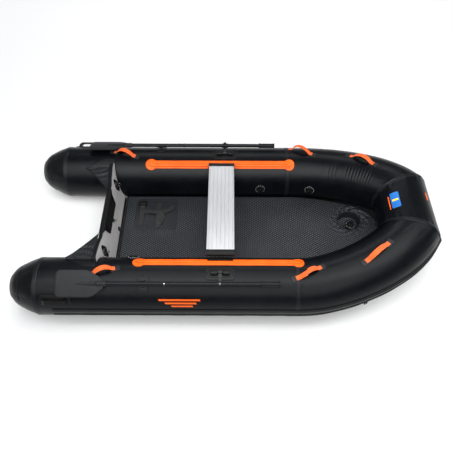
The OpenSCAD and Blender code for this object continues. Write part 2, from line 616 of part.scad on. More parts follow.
// ---- Valves ----
bow_valve = [736, -85];
bow_valve_lift = 1.6;          // the shoulder's inner wall is hollow along its length
barrel_h = 9;
module valve_body(pierced) {
    difference() {
        union() {
            pad(2.6) cylinder(d = 84, h = 40, center = true);
            off_skin() cylinder(d = 58, h = barrel_h);
            if (pierced) translate([0, 0, -24]) cylinder(d = 58, h = 25);
        }
        translate([0, 0, -60]) cylinder(d = 46, h = 100);
    }
}
module valve_cap() color(fabric_grey) {
    translate([0, 0, barrel_h + 0.5]) cylinder(d = 56, h = 6);
    translate([0, 0, 3]) cylinder(d = 44, h = barrel_h);
    translate([0, 0, barrel_h + 9]) rounded(44, 9, 4, 8);
}
keel_valve_z = 112;
module on_keel_valve() translate([hand_hole[0] + 22, hand_hole[1] - 16, keel_valve_z]) children();
module valve_bodies() color(moulded_black) {
    on_skin(side_valve_x[0], side_valve_a[0]) valve_body(true);
    starboard() on_skin(side_valve_x[1], side_valve_a[1]) valve_body(true);
    on_skin(bow_valve[0], bow_valve[1]) translate([0, 0, bow_valve_lift]) valve_body(false);
    on_keel_valve() difference() {
        union() {
            cylinder(d = 96, h = 4);
            cylinder(d = 58, h = barrel_h);
            translate([0, 0, -50]) cylinder(d = 62, h = 51);
        }
        translate([0, 0, -60]) cylinder(d = 46, h = 100);
    }
}
module valve_cap_port() on_skin(side_valve_x[0], side_valve_a[0]) valve_cap();
module valve_cap_starboard() starboard() on_skin(side_valve_x[1], side_valve_a[1]) valve_cap();
module valve_cap_bow() on_skin(bow_valve[0], bow_valve[1]) translate([0, 0, bow_valve_lift]) valve_cap();
module keel_valve_cap() on_keel_valve() valve_cap();

// ---- Towing rings low on the shoulders ----
tow_q = 945;
tow_a = 116;
ring_r = 23;
module tow_patches() color(moulded_black) both_sides() on_skin(tow_q, tow_a) {
    difference() {
        translate([0, 0, 1.4]) cylinder(d1 = 76, d2 = 70, h = 4);
        tube_grown(1.2);
    }
    difference() {
        translate([-15, -5, 1.6]) cube([30, 10, 14]);
        translate([-20, 0, 10]) rotate([0, 90, 0]) cylinder(r = 3.4, h = 40);
    }
}
// D-ring hanging from its hinge bar
module tow_ring() color(steel) on_tow_axis() {
    rotate([0, 90, 0]) cylinder(r = 3, h = 2 * ring_r, center = true);
    for (s = [-1, 1]) translate([s * ring_r, 0, -6]) cylinder(r = 3, h = 6);
    for (s = [-1, 1]) translate([s * ring_r, 0, 0]) sphere(3);
    translate([0, 0, -6]) rotate([90, 0, 0]) difference() {
        eye_ring(ring_r, 3);
        translate([-40, 0, -10]) cube([80, 40, 20]);
    }
}
// Frame at the ring's hinge bar: x along the tube, y outboard, z up
module on_tow_axis() {
    t = forward(tow_q);
    s = outward(tow_q);
    n = upward(tow_q);
    p = skin(tow_q, tow_a, tube_r + 10);
    multmatrix([[t[0], s[0], n[0], p[0]], [t[1], s[1], n[1], p[1]], [t[2], s[2], n[2], p[2]], [0, 0, 0, 1]])
        children();
}
module tow_ring_port() tow_ring();
module tow_ring_starboard() starboard() tow_ring();

// ---- Fuel tank strap on the deck ----
tank_x = [-772, -424];
tank_y = [4, 320];
module tank_strap() color(moulded_black) translate([0, 0, deck_top]) {
    translate([(tank_x[0] + tank_x[1]) / 2, (tank_y[0] + tank_y[1]) / 2, 1.6])
        rounded(tank_x[1] - tank_x[0], tank_y[1] - tank_y[0], 30, 2.4);
    translate([-740, 40, 3]) cube([40, 240, 3]);
    translate([-600, 18, 3]) cube([40, 260, 3]);
}
module tank_buckle() color(moulded_black) translate([-720, 262, deck_top + 12.3]) difference() {
    rounded(62, 44, 8, 12);
    rounded(44, 26, 4, 14);
}

side_tube_port();
side_tube_starboard();
shoulder_tube_port();
shoulder_tube_starboard();
nose_tube();
tail_cone_port();
tail_cone_starboard();
chamber_baffles();
rub_strake();
hull_bottom();
keel_tube();
air_deck();
transom_board();
transom_trim();
motor_pad_inner();
motor_pad_outer();
transom_seal();
transom_holder_port();
transom_holder_starboard();
transom_eyes();
drain_socket();
drain_plug();
seat_track_port();
seat_track_starboard();
seat_plank();
seat_cap_port();
seat_cap_starboard();
grab_handle_aft_port();
grab_handle_aft_starboard();
grab_handle_mid_port();
grab_handle_mid_starboard();
grab_handle_bow_port();
grab_handle_bow_starboard();
handle_patches();
carry_handles();
oar_clips();
rowlock_base_port();
rowlock_base_starboard();
rowlock_knuckle_port();
rowlock_knuckle_starboard();
oar_blade_port();
oar_blade_starboard();
oar_shaft_lower_port();
oar_shaft_lower_starboard();
oar_shaft_upper_port();
oar_shaft_upper_starboard();
oar_grip_port();
oar_grip_starboard();
oar_button_port();
oar_button_starboard();
valve_bodies();
valve_cap_port();
valve_cap_starboard();
valve_cap_bow();
keel_valve_cap();
tow_patches();
tow_ring_port();
tow_ring_starboard();
tank_strap();
tank_buckle();
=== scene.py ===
import bmesh
import bpy
import json
import math
import numpy as np
from collections import Counter
from mathutils import Matrix, Vector

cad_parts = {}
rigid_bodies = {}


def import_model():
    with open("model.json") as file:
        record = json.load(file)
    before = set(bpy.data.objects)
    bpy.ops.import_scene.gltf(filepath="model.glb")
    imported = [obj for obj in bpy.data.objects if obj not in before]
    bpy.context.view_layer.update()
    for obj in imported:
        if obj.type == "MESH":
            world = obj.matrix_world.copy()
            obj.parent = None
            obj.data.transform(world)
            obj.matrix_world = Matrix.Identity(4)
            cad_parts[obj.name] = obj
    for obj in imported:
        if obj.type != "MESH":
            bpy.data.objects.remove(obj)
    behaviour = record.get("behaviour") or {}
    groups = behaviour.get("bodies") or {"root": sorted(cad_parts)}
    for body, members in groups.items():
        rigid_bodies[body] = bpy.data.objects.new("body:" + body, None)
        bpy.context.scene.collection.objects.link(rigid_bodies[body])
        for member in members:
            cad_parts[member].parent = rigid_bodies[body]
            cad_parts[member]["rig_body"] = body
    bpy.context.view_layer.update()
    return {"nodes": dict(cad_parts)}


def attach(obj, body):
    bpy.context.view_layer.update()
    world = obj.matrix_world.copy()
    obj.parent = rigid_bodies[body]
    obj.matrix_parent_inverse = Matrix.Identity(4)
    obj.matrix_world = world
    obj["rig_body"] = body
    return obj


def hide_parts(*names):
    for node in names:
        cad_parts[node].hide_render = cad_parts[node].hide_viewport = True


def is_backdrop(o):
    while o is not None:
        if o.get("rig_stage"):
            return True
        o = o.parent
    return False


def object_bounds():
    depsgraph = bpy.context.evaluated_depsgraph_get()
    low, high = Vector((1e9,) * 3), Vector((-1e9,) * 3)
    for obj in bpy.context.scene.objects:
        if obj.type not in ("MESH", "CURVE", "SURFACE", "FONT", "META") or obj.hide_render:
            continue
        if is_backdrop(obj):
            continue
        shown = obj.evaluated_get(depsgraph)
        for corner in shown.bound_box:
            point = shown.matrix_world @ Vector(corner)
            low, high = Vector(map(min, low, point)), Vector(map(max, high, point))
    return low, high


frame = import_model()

# The visual model: +X is the bow, +Y port, +Z up. A point on a side or shoulder tube is given by a station q
# along its axis and an angle a, in degrees outboard of its top line.
NODES = frame["nodes"]

# ---------------------------------------------------------------- hull geometry, metres, as in the CAD source
R = 0.21                # of every tube
TUBE_Y = 0.56           # the side tubes' axis
TAIL_X = -1.575         # tip of the tail cones
CONE_X = -1.365         # a cone meets its side tube
SEAM_X = 0.486          # a side tube meets its shoulder tube
BEND = 0.52             # the axis starts to curve in
RISE_X = 0.545          # and to rise
BOW_RISE = 0.151
STRAKE_OUT = (R + 0.006) * math.cos(math.radians(6.5)) + 0.007
BOW_X = 1.575 - STRAKE_OUT
HALF_BOW = 0.195        # half the nose tube's axis
CURVE = np.array([[BEND, TUBE_Y], [BEND + 0.275, TUBE_Y], [BOW_X - 0.143, TUBE_Y - 0.151], [BOW_X, HALF_BOW]])
END = BEND + 1.0        # station of the corner with the nose tube
SIDES = (("port", 1), ("starboard", -1))
Z_AXIS = np.array([0, 0, 1.0])


def unit(v):
    return v / np.linalg.norm(v, axis=-1, keepdims=True)


def centre(q):
    """Point on the port tube's axis at station q; past the corner it runs on straight."""
    q = np.asarray(q, float)
    u = np.clip(q - BEND, 0, 1)[..., None]
    p = (CURVE[0] * (1 - u) ** 3 + 3 * CURVE[1] * u * (1 - u) ** 2 + 3 * CURVE[2] * u * u * (1 - u)
         + CURVE[3] * u ** 3)
    p = p + np.clip(q - END, 0, None)[..., None] * 3 * (CURVE[3] - CURVE[2])
    x = np.where(q < BEND, q, p[..., 0])
    z = R + BOW_RISE * np.clip((x - RISE_X) / (BOW_X - RISE_X), 0, None) ** 1.4
    return np.stack([x, p[..., 1], z], -1)


def axes(q):
    """Directions along the axis, outboard and up at station q."""
    t = unit(centre(np.asarray(q, float) + 0.001) - centre(np.asarray(q, float) - 0.001))
    s = unit(np.cross(np.array([0, 0, 1.0]), t))
    return t, s, np.cross(t, s)


def skin(q, a, r=R):
    """Point at distance r from the axis, a degrees outboard of the tube's top line."""
    t, s, n = axes(q)
    a = np.radians(np.asarray(a, float))[..., None]
    return centre(q) + np.asarray(r, float)[..., None] * (np.cos(a) * n + np.sin(a) * s)


CORNER = centre(END)
CORNER_N = unit(axes(END)[0] + np.array([0, -1.0, 0]))


def corner_station(a, r):
    """The station at which the line along the skin at angle a meets the corner seam."""
    lo, hi = np.full_like(a, 1.3), np.full_like(a, 1.75)
    for _ in range(30):
        mid = (lo + hi) / 2
        past = ((skin(mid, a, r) - CORNER) @ CORNER_N) > 0
        lo, hi = np.where(past, lo, mid), np.where(past, mid, hi)
    return (lo + hi) / 2


def nose_point(y, a, r):
    """Point at distance r from the nose tube's axis, a degrees forward of its top line."""
    a = np.radians(np.asarray(a, float))
    return np.stack([BOW_X + r * np.sin(a), y + 0 * a, CORNER[2] + r * np.cos(a)], -1)


def nose_edge(a, r):
    """Half-width of the nose tube at angle a, where it meets the corner seam."""
    p = nose_point(HALF_BOW, a, r)
    return HALF_BOW - ((p - CORNER) @ CORNER_N) / CORNER_N[1]


def mirrored(p, side):
    """Port points as they are (side 1), or mirrored to starboard (side -1)."""
    return np.asarray(p) * (1.0, side, 1.0)


def bump(x, width):
    return np.exp(-(x / width) ** 2)


def step(x, a, b):
    t = np.clip((x - a) / (b - a), 0, 1)
    return t * t * (3 - 2 * t)


# ---------------------------------------------------------------- mesh tools
def link(name, data):
    o = bpy.data.objects.new(name, data)
    bpy.context.scene.collection.objects.link(o)
    return o


def place(name, mesh, body, nodes=()):
    o = link(name, mesh)
    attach(o, body)
    if nodes:
        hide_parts(*nodes)
    return o


def add(name, verts, faces, mat, body="hull", nodes=(), slot=None, sharp=None):
    """A piece from vertices and faces; edges of more than `sharp` degrees stay hard."""
    me = bpy.data.meshes.new(name)
    me.from_pydata([tuple(map(float, v)) for v in verts], [], [tuple(map(int, f)) for f in faces])
    bm = bmesh.new()
    bm.from_mesh(me)
    bmesh.ops.recalc_face_normals(bm, faces=bm.faces)
    bm.to_mesh(me)
    bm.free()
    me.polygons.foreach_set("use_smooth", [True] * len(me.polygons))
    if sharp:
        me.set_sharp_from_angle(angle=math.radians(sharp))
    me.materials.append(mat)
    return place(name, me, body, nodes)


def ring_part(rings, wrap=False, caps=2):
    """Skin through rings of points; wrap joins the last ring to the first, caps is how many ends are closed."""
    rings = np.asarray(rings)
    n, m = rings.shape[:2]
    i, j = np.meshgrid(np.arange(n if wrap else n - 1), np.arange(m), indexing="ij")
    i, j = i.ravel(), j.ravel()
    k, l = (i + 1) % n, (j + 1) % m
    faces = np.stack([i * m + j, i * m + l, k * m + l, k * m + j], 1).tolist()
    ends = [list(range(m)), list(range((n - 1) * m, n * m))]
    return rings.reshape(-1, 3), faces + ([] if wrap else ends[:caps])


def loft(name, rings, mat, body="hull", nodes=(), slot=None, caps=2, sharp=None):
    return add(name, *ring_part(rings, caps=caps), mat, body, nodes, slot, sharp)


def merge(parts):
    """Several (verts, faces) as one."""
    verts, faces, at = [], [], 0
    for v, f in parts:
        verts.append(v)
        faces += [[k + at for k in g] for g in f]
        at += len(v)
    return np.concatenate(verts), faces


def turns(n):
    """n angles round a circle."""
    return np.linspace(0, 2 * np.pi, n, endpoint=False)


def cord(path, normal, r, sides=8, closed=False, flat=1.0):
    """A thin bead along path; normal is its up direction, one for all points or one for each."""
    path, normal = np.asarray(path, float), np.asarray(normal, float)
    if closed:
        t = unit(np.roll(path, -1, 0) - np.roll(path, 1, 0))
    else:
        t = unit(np.gradient(path, axis=0))
    n = unit(normal - (normal * t).sum(-1, keepdims=True) * t)
    s = np.cross(t, n)
    k = turns(sides)[None, :, None]
    return ring_part(path[:, None] + r * (np.cos(k) * s[:, None] + flat * np.sin(k) * n[:, None]), closed)

def rounded_loop(l, w, r, n=10):
    """Closed outline of a rounded rectangle."""
    pts = []
    for cx, cy, a0 in ((l / 2 - r, w / 2 - r, 0), (r - l / 2, w / 2 - r, 90), (r - l / 2, r - w / 2, 180),
                       (l / 2 - r, r - w / 2, 270)):
        for k in range(n + 1):
            a = math.radians(a0 + 90 * k / n)
            pts.append((cx + r * math.cos(a), cy + r * math.sin(a)))
    return dense(np.array(pts), 0.006)


def dense(pts, gap):
    out = []
    for p, q in zip(pts, np.roll(pts, -1, 0)):
        n = max(1, int(np.linalg.norm(q - p) / gap))
        out += [p + (q - p) * k / n for k in range(n)]
    return np.array(out)


def shrunk(outline, share):
    """The outline drawn in towards its middle."""
    c = outline.mean(0)
    return c + (outline - c) * share


def speed(q):
    """Metres of axis for each unit of station."""
    return float(np.linalg.norm(centre(q + 0.01) - centre(q - 0.01)) / 0.02)


def on_skin(q0, a0, pts, h):
    """Flat points (x forward, y outboard) laid on the tube round (q0, a0) at height h, and the normals there."""
    pts = np.asarray(pts, float)
    q = q0 + pts[..., 0] / (speed(q0) if q0 > BEND else 1.0)
    p = skin(q, a0 + np.degrees(pts[..., 1] / R), R + h)
    return p, unit(p - centre(q))


def bead(q0, a0, pts, h, r, side, closed=True, sides=8):
    """A thin bead on the skin along pts."""
    p, n = on_skin(q0, a0, pts, h)
    return cord(mirrored(p, side), mirrored(n, side), r, sides, closed)


def patch_part(q0, a0, outline, t, side, rim=0.0015, lift=0.0004):
    """A flat patch with a softened edge, laid on the skin; outline is closed and seen from outside."""
    size = np.linalg.norm(outline - outline.mean(0), axis=1, keepdims=True)
    steps = [((1 - rim / size) * s, t) for s in np.linspace(0.08, 1, 5) ** 0.8]
    steps += [(1 - 0.4 * rim / size, t * 0.75), (1.0, 0.0)]
    rings = [on_skin(q0, a0, shrunk(outline, share), lift + h)[0] for share, h in steps]
    return ring_part(mirrored(rings, side), caps=1)


def refine(node, mat, bevel, seg, limit=35):
    """A welded copy of a moulded CAD part with its hard edges rounded."""
    src = NODES[node]
    bm = bmesh.new()
    bm.from_mesh(src.data)
    bmesh.ops.remove_doubles(bm, verts=bm.verts, dist=3e-5)
    bmesh.ops.dissolve_limit(bm, angle_limit=math.radians(1.2), verts=bm.verts, edges=bm.edges)
    edges = [e for e in bm.edges if len(e.link_faces) == 2 and e.calc_face_angle(0) > math.radians(limit)
             and e.calc_length() > bevel * 0.5]
    bmesh.ops.bevel(bm, geom=edges, offset=bevel, segments=seg, profile=0.6, affect="EDGES", clamp_overlap=True)
    me = bpy.data.meshes.new(node + "_moulded")
    bm.to_mesh(me)
    bm.free()
    me.polygons.foreach_set("use_smooth", [True] * len(me.polygons))
    me.set_sharp_from_angle(angle=math.radians(38))
    me.materials.append(mat)
    return place(me.name, me, src["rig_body"], (node,))


def coat(node, mat):
    """A procedural material on a CAD part that is kept as it is."""
    materials = NODES[node].data.materials
    materials.clear()
    materials.append(mat)


# ---------------------------------------------------------------- materials
class Nodes:
    def __init__(self, name):
        self.mat = bpy.data.materials.new(name)
        self.mat.use_nodes = True
        self.tree = self.mat.node_tree
        self.shader = self.tree.nodes["Principled BSDF"]
        coord = self.tree.nodes.new("ShaderNodeTexCoord")
        self.at = coord.outputs["Object"]

    def new(self, kind, inputs=None, **settings):
        n = self.tree.nodes.new("ShaderNode" + kind)
        for k, v in settings.items():
            setattr(n, k, v)
        for k, v in (inputs or {}).items():
            if isinstance(v, bpy.types.NodeSocket):
                self.tree.links.new(v, n.inputs[k])
            else:
                n.inputs[k].default_value = v
        return n

    def math(self, op, a, b):
        return self.new("Math", {0: a, 1: b}, operation=op).outputs[0]

    def turned(self, angle=0.0, scale=(1, 1, 1)):
        return self.new("Mapping", {"Vector": self.at, "Rotation": (0, 0, math.radians(angle)),
                                    "Scale": scale}).outputs[0]

    def noise(self, scale, detail=3.0, rough=0.55, vector=None):
        return self.new("TexNoise", {"Vector": vector or self.at, "Scale": scale, "Detail": detail,
                                     "Roughness": rough}).outputs["Fac"]

    def bands(self, period, angle=0.0, axis="X"):
        """Smooth stripes, one every `period` metres."""
        return self.new("TexWave", {"Vector": self.turned(angle), "Scale": 2 * math.pi / (20 * period)},
                        wave_type="BANDS", bands_direction=axis).outputs["Fac"]

    def spread(self, value, low, high, from_low=0.0, from_high=1.0):
        return self.new("MapRange", {"Value": value, "From Min": from_low, "From Max": from_high,
                                     "To Min": low, "To Max": high}).outputs[0]

    def mix(self, fac, a, b):
        n = self.new("Mix", data_type="RGBA")
        for k, v in (("Factor", fac), ("A", a), ("B", b)):
            socket = [s for s in n.inputs if s.name == k and s.type == ("VALUE" if k == "Factor" else "RGBA")][0]
            if isinstance(v, bpy.types.NodeSocket):
                self.tree.links.new(v, socket)
            else:
                socket.default_value = v if k == "Factor" else (*v[:3], 1.0)
        return [s for s in n.outputs if s.type == "RGBA"][0]

    def relief(self, *layers):
        """Bump layers, each (height socket, distance in metres, strength)."""
        normal = None
        for height, distance, strength in layers:
            n = self.new("Bump", {"Height": height, "Distance": distance, "Strength": strength})
            if normal:
                self.tree.links.new(normal, n.inputs["Normal"])
            normal = n.outputs["Normal"]
        self.tree.links.new(normal, self.shader.inputs["Normal"])

    def finish(self, colour, rough, **constants):
        self.tree.links.new(colour, self.shader.inputs["Base Color"])
        self.tree.links.new(rough, self.shader.inputs["Roughness"])
        for k, v in constants.items():
            self.shader.inputs[k.replace("_", " ")].default_value = v
        return self.mat


def coated_fabric(name, dark, light, rough=(0.28, 0.38), specular=0.15):
    """Satin coated fabric: faint base-cloth weave under the coating, slow colour drift, scuffs."""
    m = Nodes(name)
    drift = m.noise(3.5, 4)
    scuff = m.noise(38.0, 6, 0.7)
    weave = m.math("MULTIPLY", m.bands(0.0021, 0), m.bands(0.0021, 0, "Z"))
    colour = m.mix(m.spread(drift, 0, 1, 0.35, 0.65), dark, light)
    worn = [min(1, 2.2 * c + 0.01) for c in light]
    colour = m.mix(m.math("MULTIPLY", m.spread(scuff, 0, 1, 0.58, 0.75), 0.35), colour, worn)
    r = m.spread(m.noise(14.0, 5, 0.6), rough[0], rough[1], 0.3, 0.7)
    m.relief((weave, 0.00025, 0.22), (m.noise(6.0, 2), 0.012, 0.10), (scuff, 0.0006, 0.16))
    return m.finish(colour, r, Specular_IOR_Level=specular)


def moulded(name, dark, light, rough=(0.36, 0.50), grain=900.0, specular=0.22):
    """Injection-moulded plastic with a fine spark grain and rubbed patches."""
    m = Nodes(name)
    rub = m.noise(30.0, 5, 0.65)
    colour = m.mix(m.spread(rub, 0, 1, 0.35, 0.7), dark, light)
    r = m.spread(m.noise(60.0, 4), rough[0], rough[1], 0.3, 0.7)
    m.relief((m.noise(grain, 2), 0.0003, 0.35), (rub, 0.0006, 0.12))
    return m.finish(colour, r, Specular_IOR_Level=specular)


def webbing(name, dark, light, angle=0.0, period=0.0042, sheen=0.12):
    """Woven webbing: diagonal rib over fine warp, fuzzy sheen."""
    m = Nodes(name)
    rib = m.bands(period, 45 + angle)
    cross = m.bands(period, -45 + angle)
    weave = m.math("MAXIMUM", rib, cross)
    colour = m.mix(m.spread(weave, 0, 1, 0.2, 0.95), dark, light)
    colour = m.mix(m.spread(m.noise(26.0, 4), 0, 0.35, 0.4, 0.75), colour, [c * 0.72 for c in dark])
    r = m.spread(m.noise(120.0, 2), 0.62, 0.8)
    m.relief((weave, 0.0007, 0.6), (m.noise(500.0, 2), 0.0003, 0.4))
    return m.finish(colour, r, Sheen_Weight=sheen, Sheen_Roughness=0.5)


def rubber(name, dark, light, rough=(0.38, 0.5), specular=0.3):
    m = Nodes(name)
    drift = m.noise(9.0, 5, 0.6)
    dust = m.noise(70.0, 5, 0.7)
    colour = m.mix(m.spread(drift, 0, 1, 0.35, 0.68), dark, light)
    r = m.spread(dust, rough[0], rough[1], 0.3, 0.7)
    m.relief((m.noise(240.0, 3), 0.0004, 0.25), (drift, 0.002, 0.1))
    return m.finish(colour, r, Specular_IOR_Level=specular)


def metal(name, dark, light, rough, axis):
    """Brushed metal: long fine scratches along one axis."""
    m = Nodes(name)
    stretch = {"X": (6, 700, 700), "Y": (700, 6, 700), "Z": (700, 700, 6)}[axis]
    lines = m.noise(1.0, 3, 0.6, m.turned(0, stretch))
    smudge = m.noise(9.0, 4, 0.6)
    colour = m.mix(m.spread(lines, 0, 1, 0.3, 0.7), dark, light)
    colour = m.mix(m.spread(smudge, 0, 0.3, 0.5, 0.8), colour, [c * 0.8 for c in light])
    r = m.math("ADD", m.spread(lines, rough[0], rough[1], 0.3, 0.7), m.spread(smudge, 0, 0.08, 0.4, 0.8))
    m.relief((lines, 0.0002, 0.3))
    return m.finish(colour, r, Metallic=1.0)


def deck_material():
    """Non-slip deck: raised diamonds on a darker ground, with a painted highlight on their tops and a slow random
    drift in tone.
    """
    m = Nodes("deck_nonslip")
    a, b = m.bands(0.0160, 58), m.bands(0.0160, -58)
    diamonds = m.math("MULTIPLY", a, b)
    wear = m.noise(2.4, 5, 0.6)
    ground = m.mix(m.spread(wear, 0, 1, 0.35, 0.65), (0.0014, 0.0018, 0.0024), (0.0026, 0.0032, 0.0040))
    # the diamond tops get a much lighter colour than the ground: a painted highlight
    painted_highlight_tops = m.mix(m.spread(wear, 0, 1, 0.35, 0.65), (0.030, 0.036, 0.044), (0.052, 0.060, 0.071))
    colour = m.mix(m.spread(diamonds, 0, 1, 0.18, 0.6), ground, painted_highlight_tops)
    r = m.spread(diamonds, 0.58, 0.36)
    m.relief((m.spread(diamonds, 0, 1, 0.1, 0.7), 0.0016, 0.7), (m.noise(420.0, 2), 0.0003, 0.3))
    return m.finish(colour, r, Specular_IOR_Level=0.3)


def painted_board():
    """Painted plywood: warm grey, brushed coat over a faint grain, scuffed."""
    m = Nodes("transom_paint")
    grain = m.noise(1.0, 5, 0.6, m.turned(0, (60, 5, 60)))
    spots = m.noise(160.0, 3, 0.7)
    colour = m.mix(m.spread(grain, 0, 1, 0.3, 0.7), (0.34, 0.332, 0.330), (0.45, 0.440, 0.437))
    colour = m.mix(m.spread(spots, 0, 0.5, 0.6, 0.75), colour, (0.20, 0.196, 0.195))
    m.relief((grain, 0.0006, 0.35), (spots, 0.0004, 0.25))
    return m.finish(colour, m.spread(grain, 0.42, 0.56), Specular_IOR_Level=0.4)


PVC = coated_fabric("tube_fabric", (0.0010, 0.0015, 0.0024), (0.0020, 0.0028, 0.0042))
PVC_TAIL = coated_fabric("tail_fabric", (0.0030, 0.0032, 0.0036), (0.0050, 0.0054, 0.0060), (0.28, 0.38), 0.16)
PVC_GREY = coated_fabric("patch_fabric", (0.0085, 0.0098, 0.0115), (0.0135, 0.0150, 0.0172), (0.40, 0.5), 0.2)
TAPE = coated_fabric("seam_tape", (0.0048, 0.0053, 0.0062), (0.0076, 0.0084, 0.0097), (0.30, 0.40), 0.16)
STRAKE = rubber("strake_rubber", (0.0036, 0.0038, 0.0042), (0.0060, 0.0063, 0.0070), (0.30, 0.42), 0.22)
ORANGE = rubber("track_rubber", (0.80, 0.098, 0.004), (0.92, 0.130, 0.008), (0.34, 0.5), 0.2)
ORANGE_WEB = webbing("orange_webbing", (0.66, 0.062, 0.002), (0.88, 0.130, 0.008))
BLACK_WEB = webbing("black_webbing", (0.0018, 0.0018, 0.0020), (0.0050, 0.0053, 0.0060), 0, 0.005, 0.03)
BLACK = moulded("black_plastic", (0.0024, 0.0024, 0.0027), (0.0048, 0.0050, 0.0055))
GREY = moulded("grey_plastic", (0.014, 0.015, 0.017), (0.026, 0.028, 0.031))
BLADE = moulded("blade_plastic", (0.0105, 0.0112, 0.0125), (0.0150, 0.0162, 0.0180), (0.44, 0.56), 700.0, 0.2)
SHAFT = metal("oar_shaft_anodised", (0.012, 0.013, 0.014), (0.024, 0.026, 0.028), (0.34, 0.46), "X")
PLANK = metal("plank_aluminium", (0.52, 0.53, 0.545), (0.64, 0.65, 0.665), (0.36, 0.48), "Y")
STEEL = metal("polished_steel", (0.55, 0.56, 0.58), (0.78, 0.79, 0.80), (0.14, 0.26), "Z")
DARK_STEEL = metal("dark_steel", (0.10, 0.10, 0.105), (0.20, 0.20, 0.21), (0.25, 0.4), "Z")
DECK = deck_material()
BOARD = painted_board()
THREAD = webbing("thread", (0.030, 0.032, 0.036), (0.060, 0.064, 0.070), 0, 0.0012)
# pale colour of the dashed rings round the valves: a painted highlight on the valve rims
PAINTED_RIM_HIGHLIGHT = rubber("painted_rim_highlight", (0.30, 0.31, 0.32), (0.42, 0.43, 0.44), (0.5, 0.6))
BLUE = rubber("blue_patch", (0.012, 0.12, 0.42), (0.018, 0.16, 0.52), (0.4, 0.5))
YELLOW = rubber("yellow_patch", (0.85, 0.60, 0.02), (0.95, 0.72, 0.04), (0.4, 0.5))

# ---------------------------------------------------------------- inflated tubes
AROUND = 128
ANGLES = np.arange(AROUND) * 360.0 / AROUND


def signed(a):
    return (np.asarray(a) + 180) % 360 - 180


def slack(q, a, near_corner):
    """How far the fabric stands off the ideal tube, in metres."""
    s = signed(a)
    seam = q - SEAM_X
    d = -0.0011 * bump(seam, 0.004) + 0.0007 * np.sin(np.radians(a) * 23) * bump(seam, 0.022)
    for k in range(9):      # creases inside the shoulder's tight bend
        at = 1.050 + 0.0275 * k
        here = bump(s + 33 + 3 * (k % 3), 15 + 4 * (k % 2)) * (0.55 + 0.45 * ((k * 7) % 5) / 4)
        d = d - 0.0036 * bump(q - at - 0.00012 * (s + 33), 0.0050) * here
        d = d + 0.0016 * bump(q - at - 0.0137, 0.0075) * here
    for k in range(5):      # and where it starts to bend
        d = d - 0.0022 * bump(q - 0.84 - 0.030 * k, 0.006) * bump(s + 38, 12)
    for k in range(5):      # faint ones along its top
        d = d - 0.0018 * bump(q - 0.62 - 0.05 * k - 0.0002 * s, 0.012) * bump(s - 20 - 5 * k, 16) * 0.5
    inner = np.clip(-np.sin(np.radians(s)), 0, 1)
    pucker = np.cos(np.radians(a) * 17) * (0.35 + 0.65 * inner) + 0.5 * np.cos(np.radians(a) * 29 + 1)
    d = d + 0.0022 * pucker * bump(near_corner - 0.012, 0.045)
    return d - 0.0035 * bump(near_corner, 0.010)


def side_and_shoulder():
    ends = corner_station(ANGLES, np.full(AROUND, R))
    fixed = np.arange(CONE_X, 0.9, 0.0125)
    s = np.linspace(0, 1, 108)
    q = np.concatenate([np.repeat(fixed[:, None], AROUND, 1), 0.9 + (ends - 0.9)[None] * s[:, None]])
    a = np.repeat(ANGLES[None], len(q), 0)
    corner_d = np.linalg.norm(centre(q) - centre(ends)[None], axis=-1)
    p = skin(q, a, R + slack(q, a, corner_d) - 0.003 * bump(q - CONE_X, 0.008))
    target = nose_point(0, ANGLES, R - 0.0035)
    target[:, 1] = nose_edge(ANGLES, R)
    w = step(q, 1.30, ends)[..., None]
    return p + (target - p[-1])[None] * w


def nose():
    edge = nose_edge(ANGLES, R)
    s = np.linspace(-1, 1, 61)
    y = s[:, None] * edge[None]
    a = np.repeat(ANGLES[None], len(s), 0)
    to_corner = edge[None] * (1 - np.abs(s))[:, None]
    past_all_creases = np.full_like(y, 3.0)
    return nose_point(y, a, R + slack(past_all_creases, a, to_corner))


shoulder = side_and_shoulder()
for side, sg in SIDES:
    loft("tube_" + side, mirrored(shoulder, sg), PVC, nodes=("side_tube_" + side, "shoulder_tube_" + side),
         slot="coated_fabric", caps=0)
loft("tube_nose", nose(), PVC, nodes=("nose_tube",), slot="coated_fabric", caps=0)


def tape_band(q0, width, side):
    """Tape round a side tube at station q0."""
    profile = [(-0.5, 0), (-0.46, 1), (-0.2, 1), (0.2, 1), (0.46, 1), (0.5, 0)]
    return mirrored([skin(q0 + c * width, ANGLES, R + 0.0002 + h * 0.0009) for c, h in profile], side)


def corner_tape(side):
    """Tape over the corner seam, half on the shoulder and half on the nose."""
    profile = [(-0.017, 0.0004), (-0.0155, 0.0020), (-0.006, 0.0024), (-0.001, 0.0012), (0.001, 0.0012),
               (0.006, 0.0024), (0.0155, 0.0020), (0.017, 0.0004)]
    pucker = 0.0014 * np.cos(np.radians(ANGLES) * 17) + 0.0007 * np.cos(np.radians(ANGLES) * 29 + 1)
    seam = shoulder[-1]
    back, out = unit(shoulder[-5] - seam), unit(seam - CORNER)
    rings = []
    for d, h in profile:
        if d < 0:
            rings.append(seam + back * -d + out * (h + 0.0018 + pucker[:, None] * 0.6))
        else:
            rings.append(nose_point(nose_edge(ANGLES, R) - d, ANGLES, R + h - 0.0016 + pucker * 0.6))
    return mirrored(rings, side)


for side, sg in SIDES:
    bands = (tape_band(SEAM_X, 0.030, sg), tape_band(CONE_X + 0.012, 0.034, sg), corner_tape(sg))
    add("seam_tapes_" + side, *merge([ring_part(b, caps=0) for b in bands]), TAPE, slot="coated_fabric")


def hoop(x, y, z, r, k):
    """Ring of radius r round a fore-and-aft axis through (y, z); k holds its angles."""
    return np.stack([np.full(len(k), x), y + r * np.sin(k), z + r * np.cos(k)], -1)


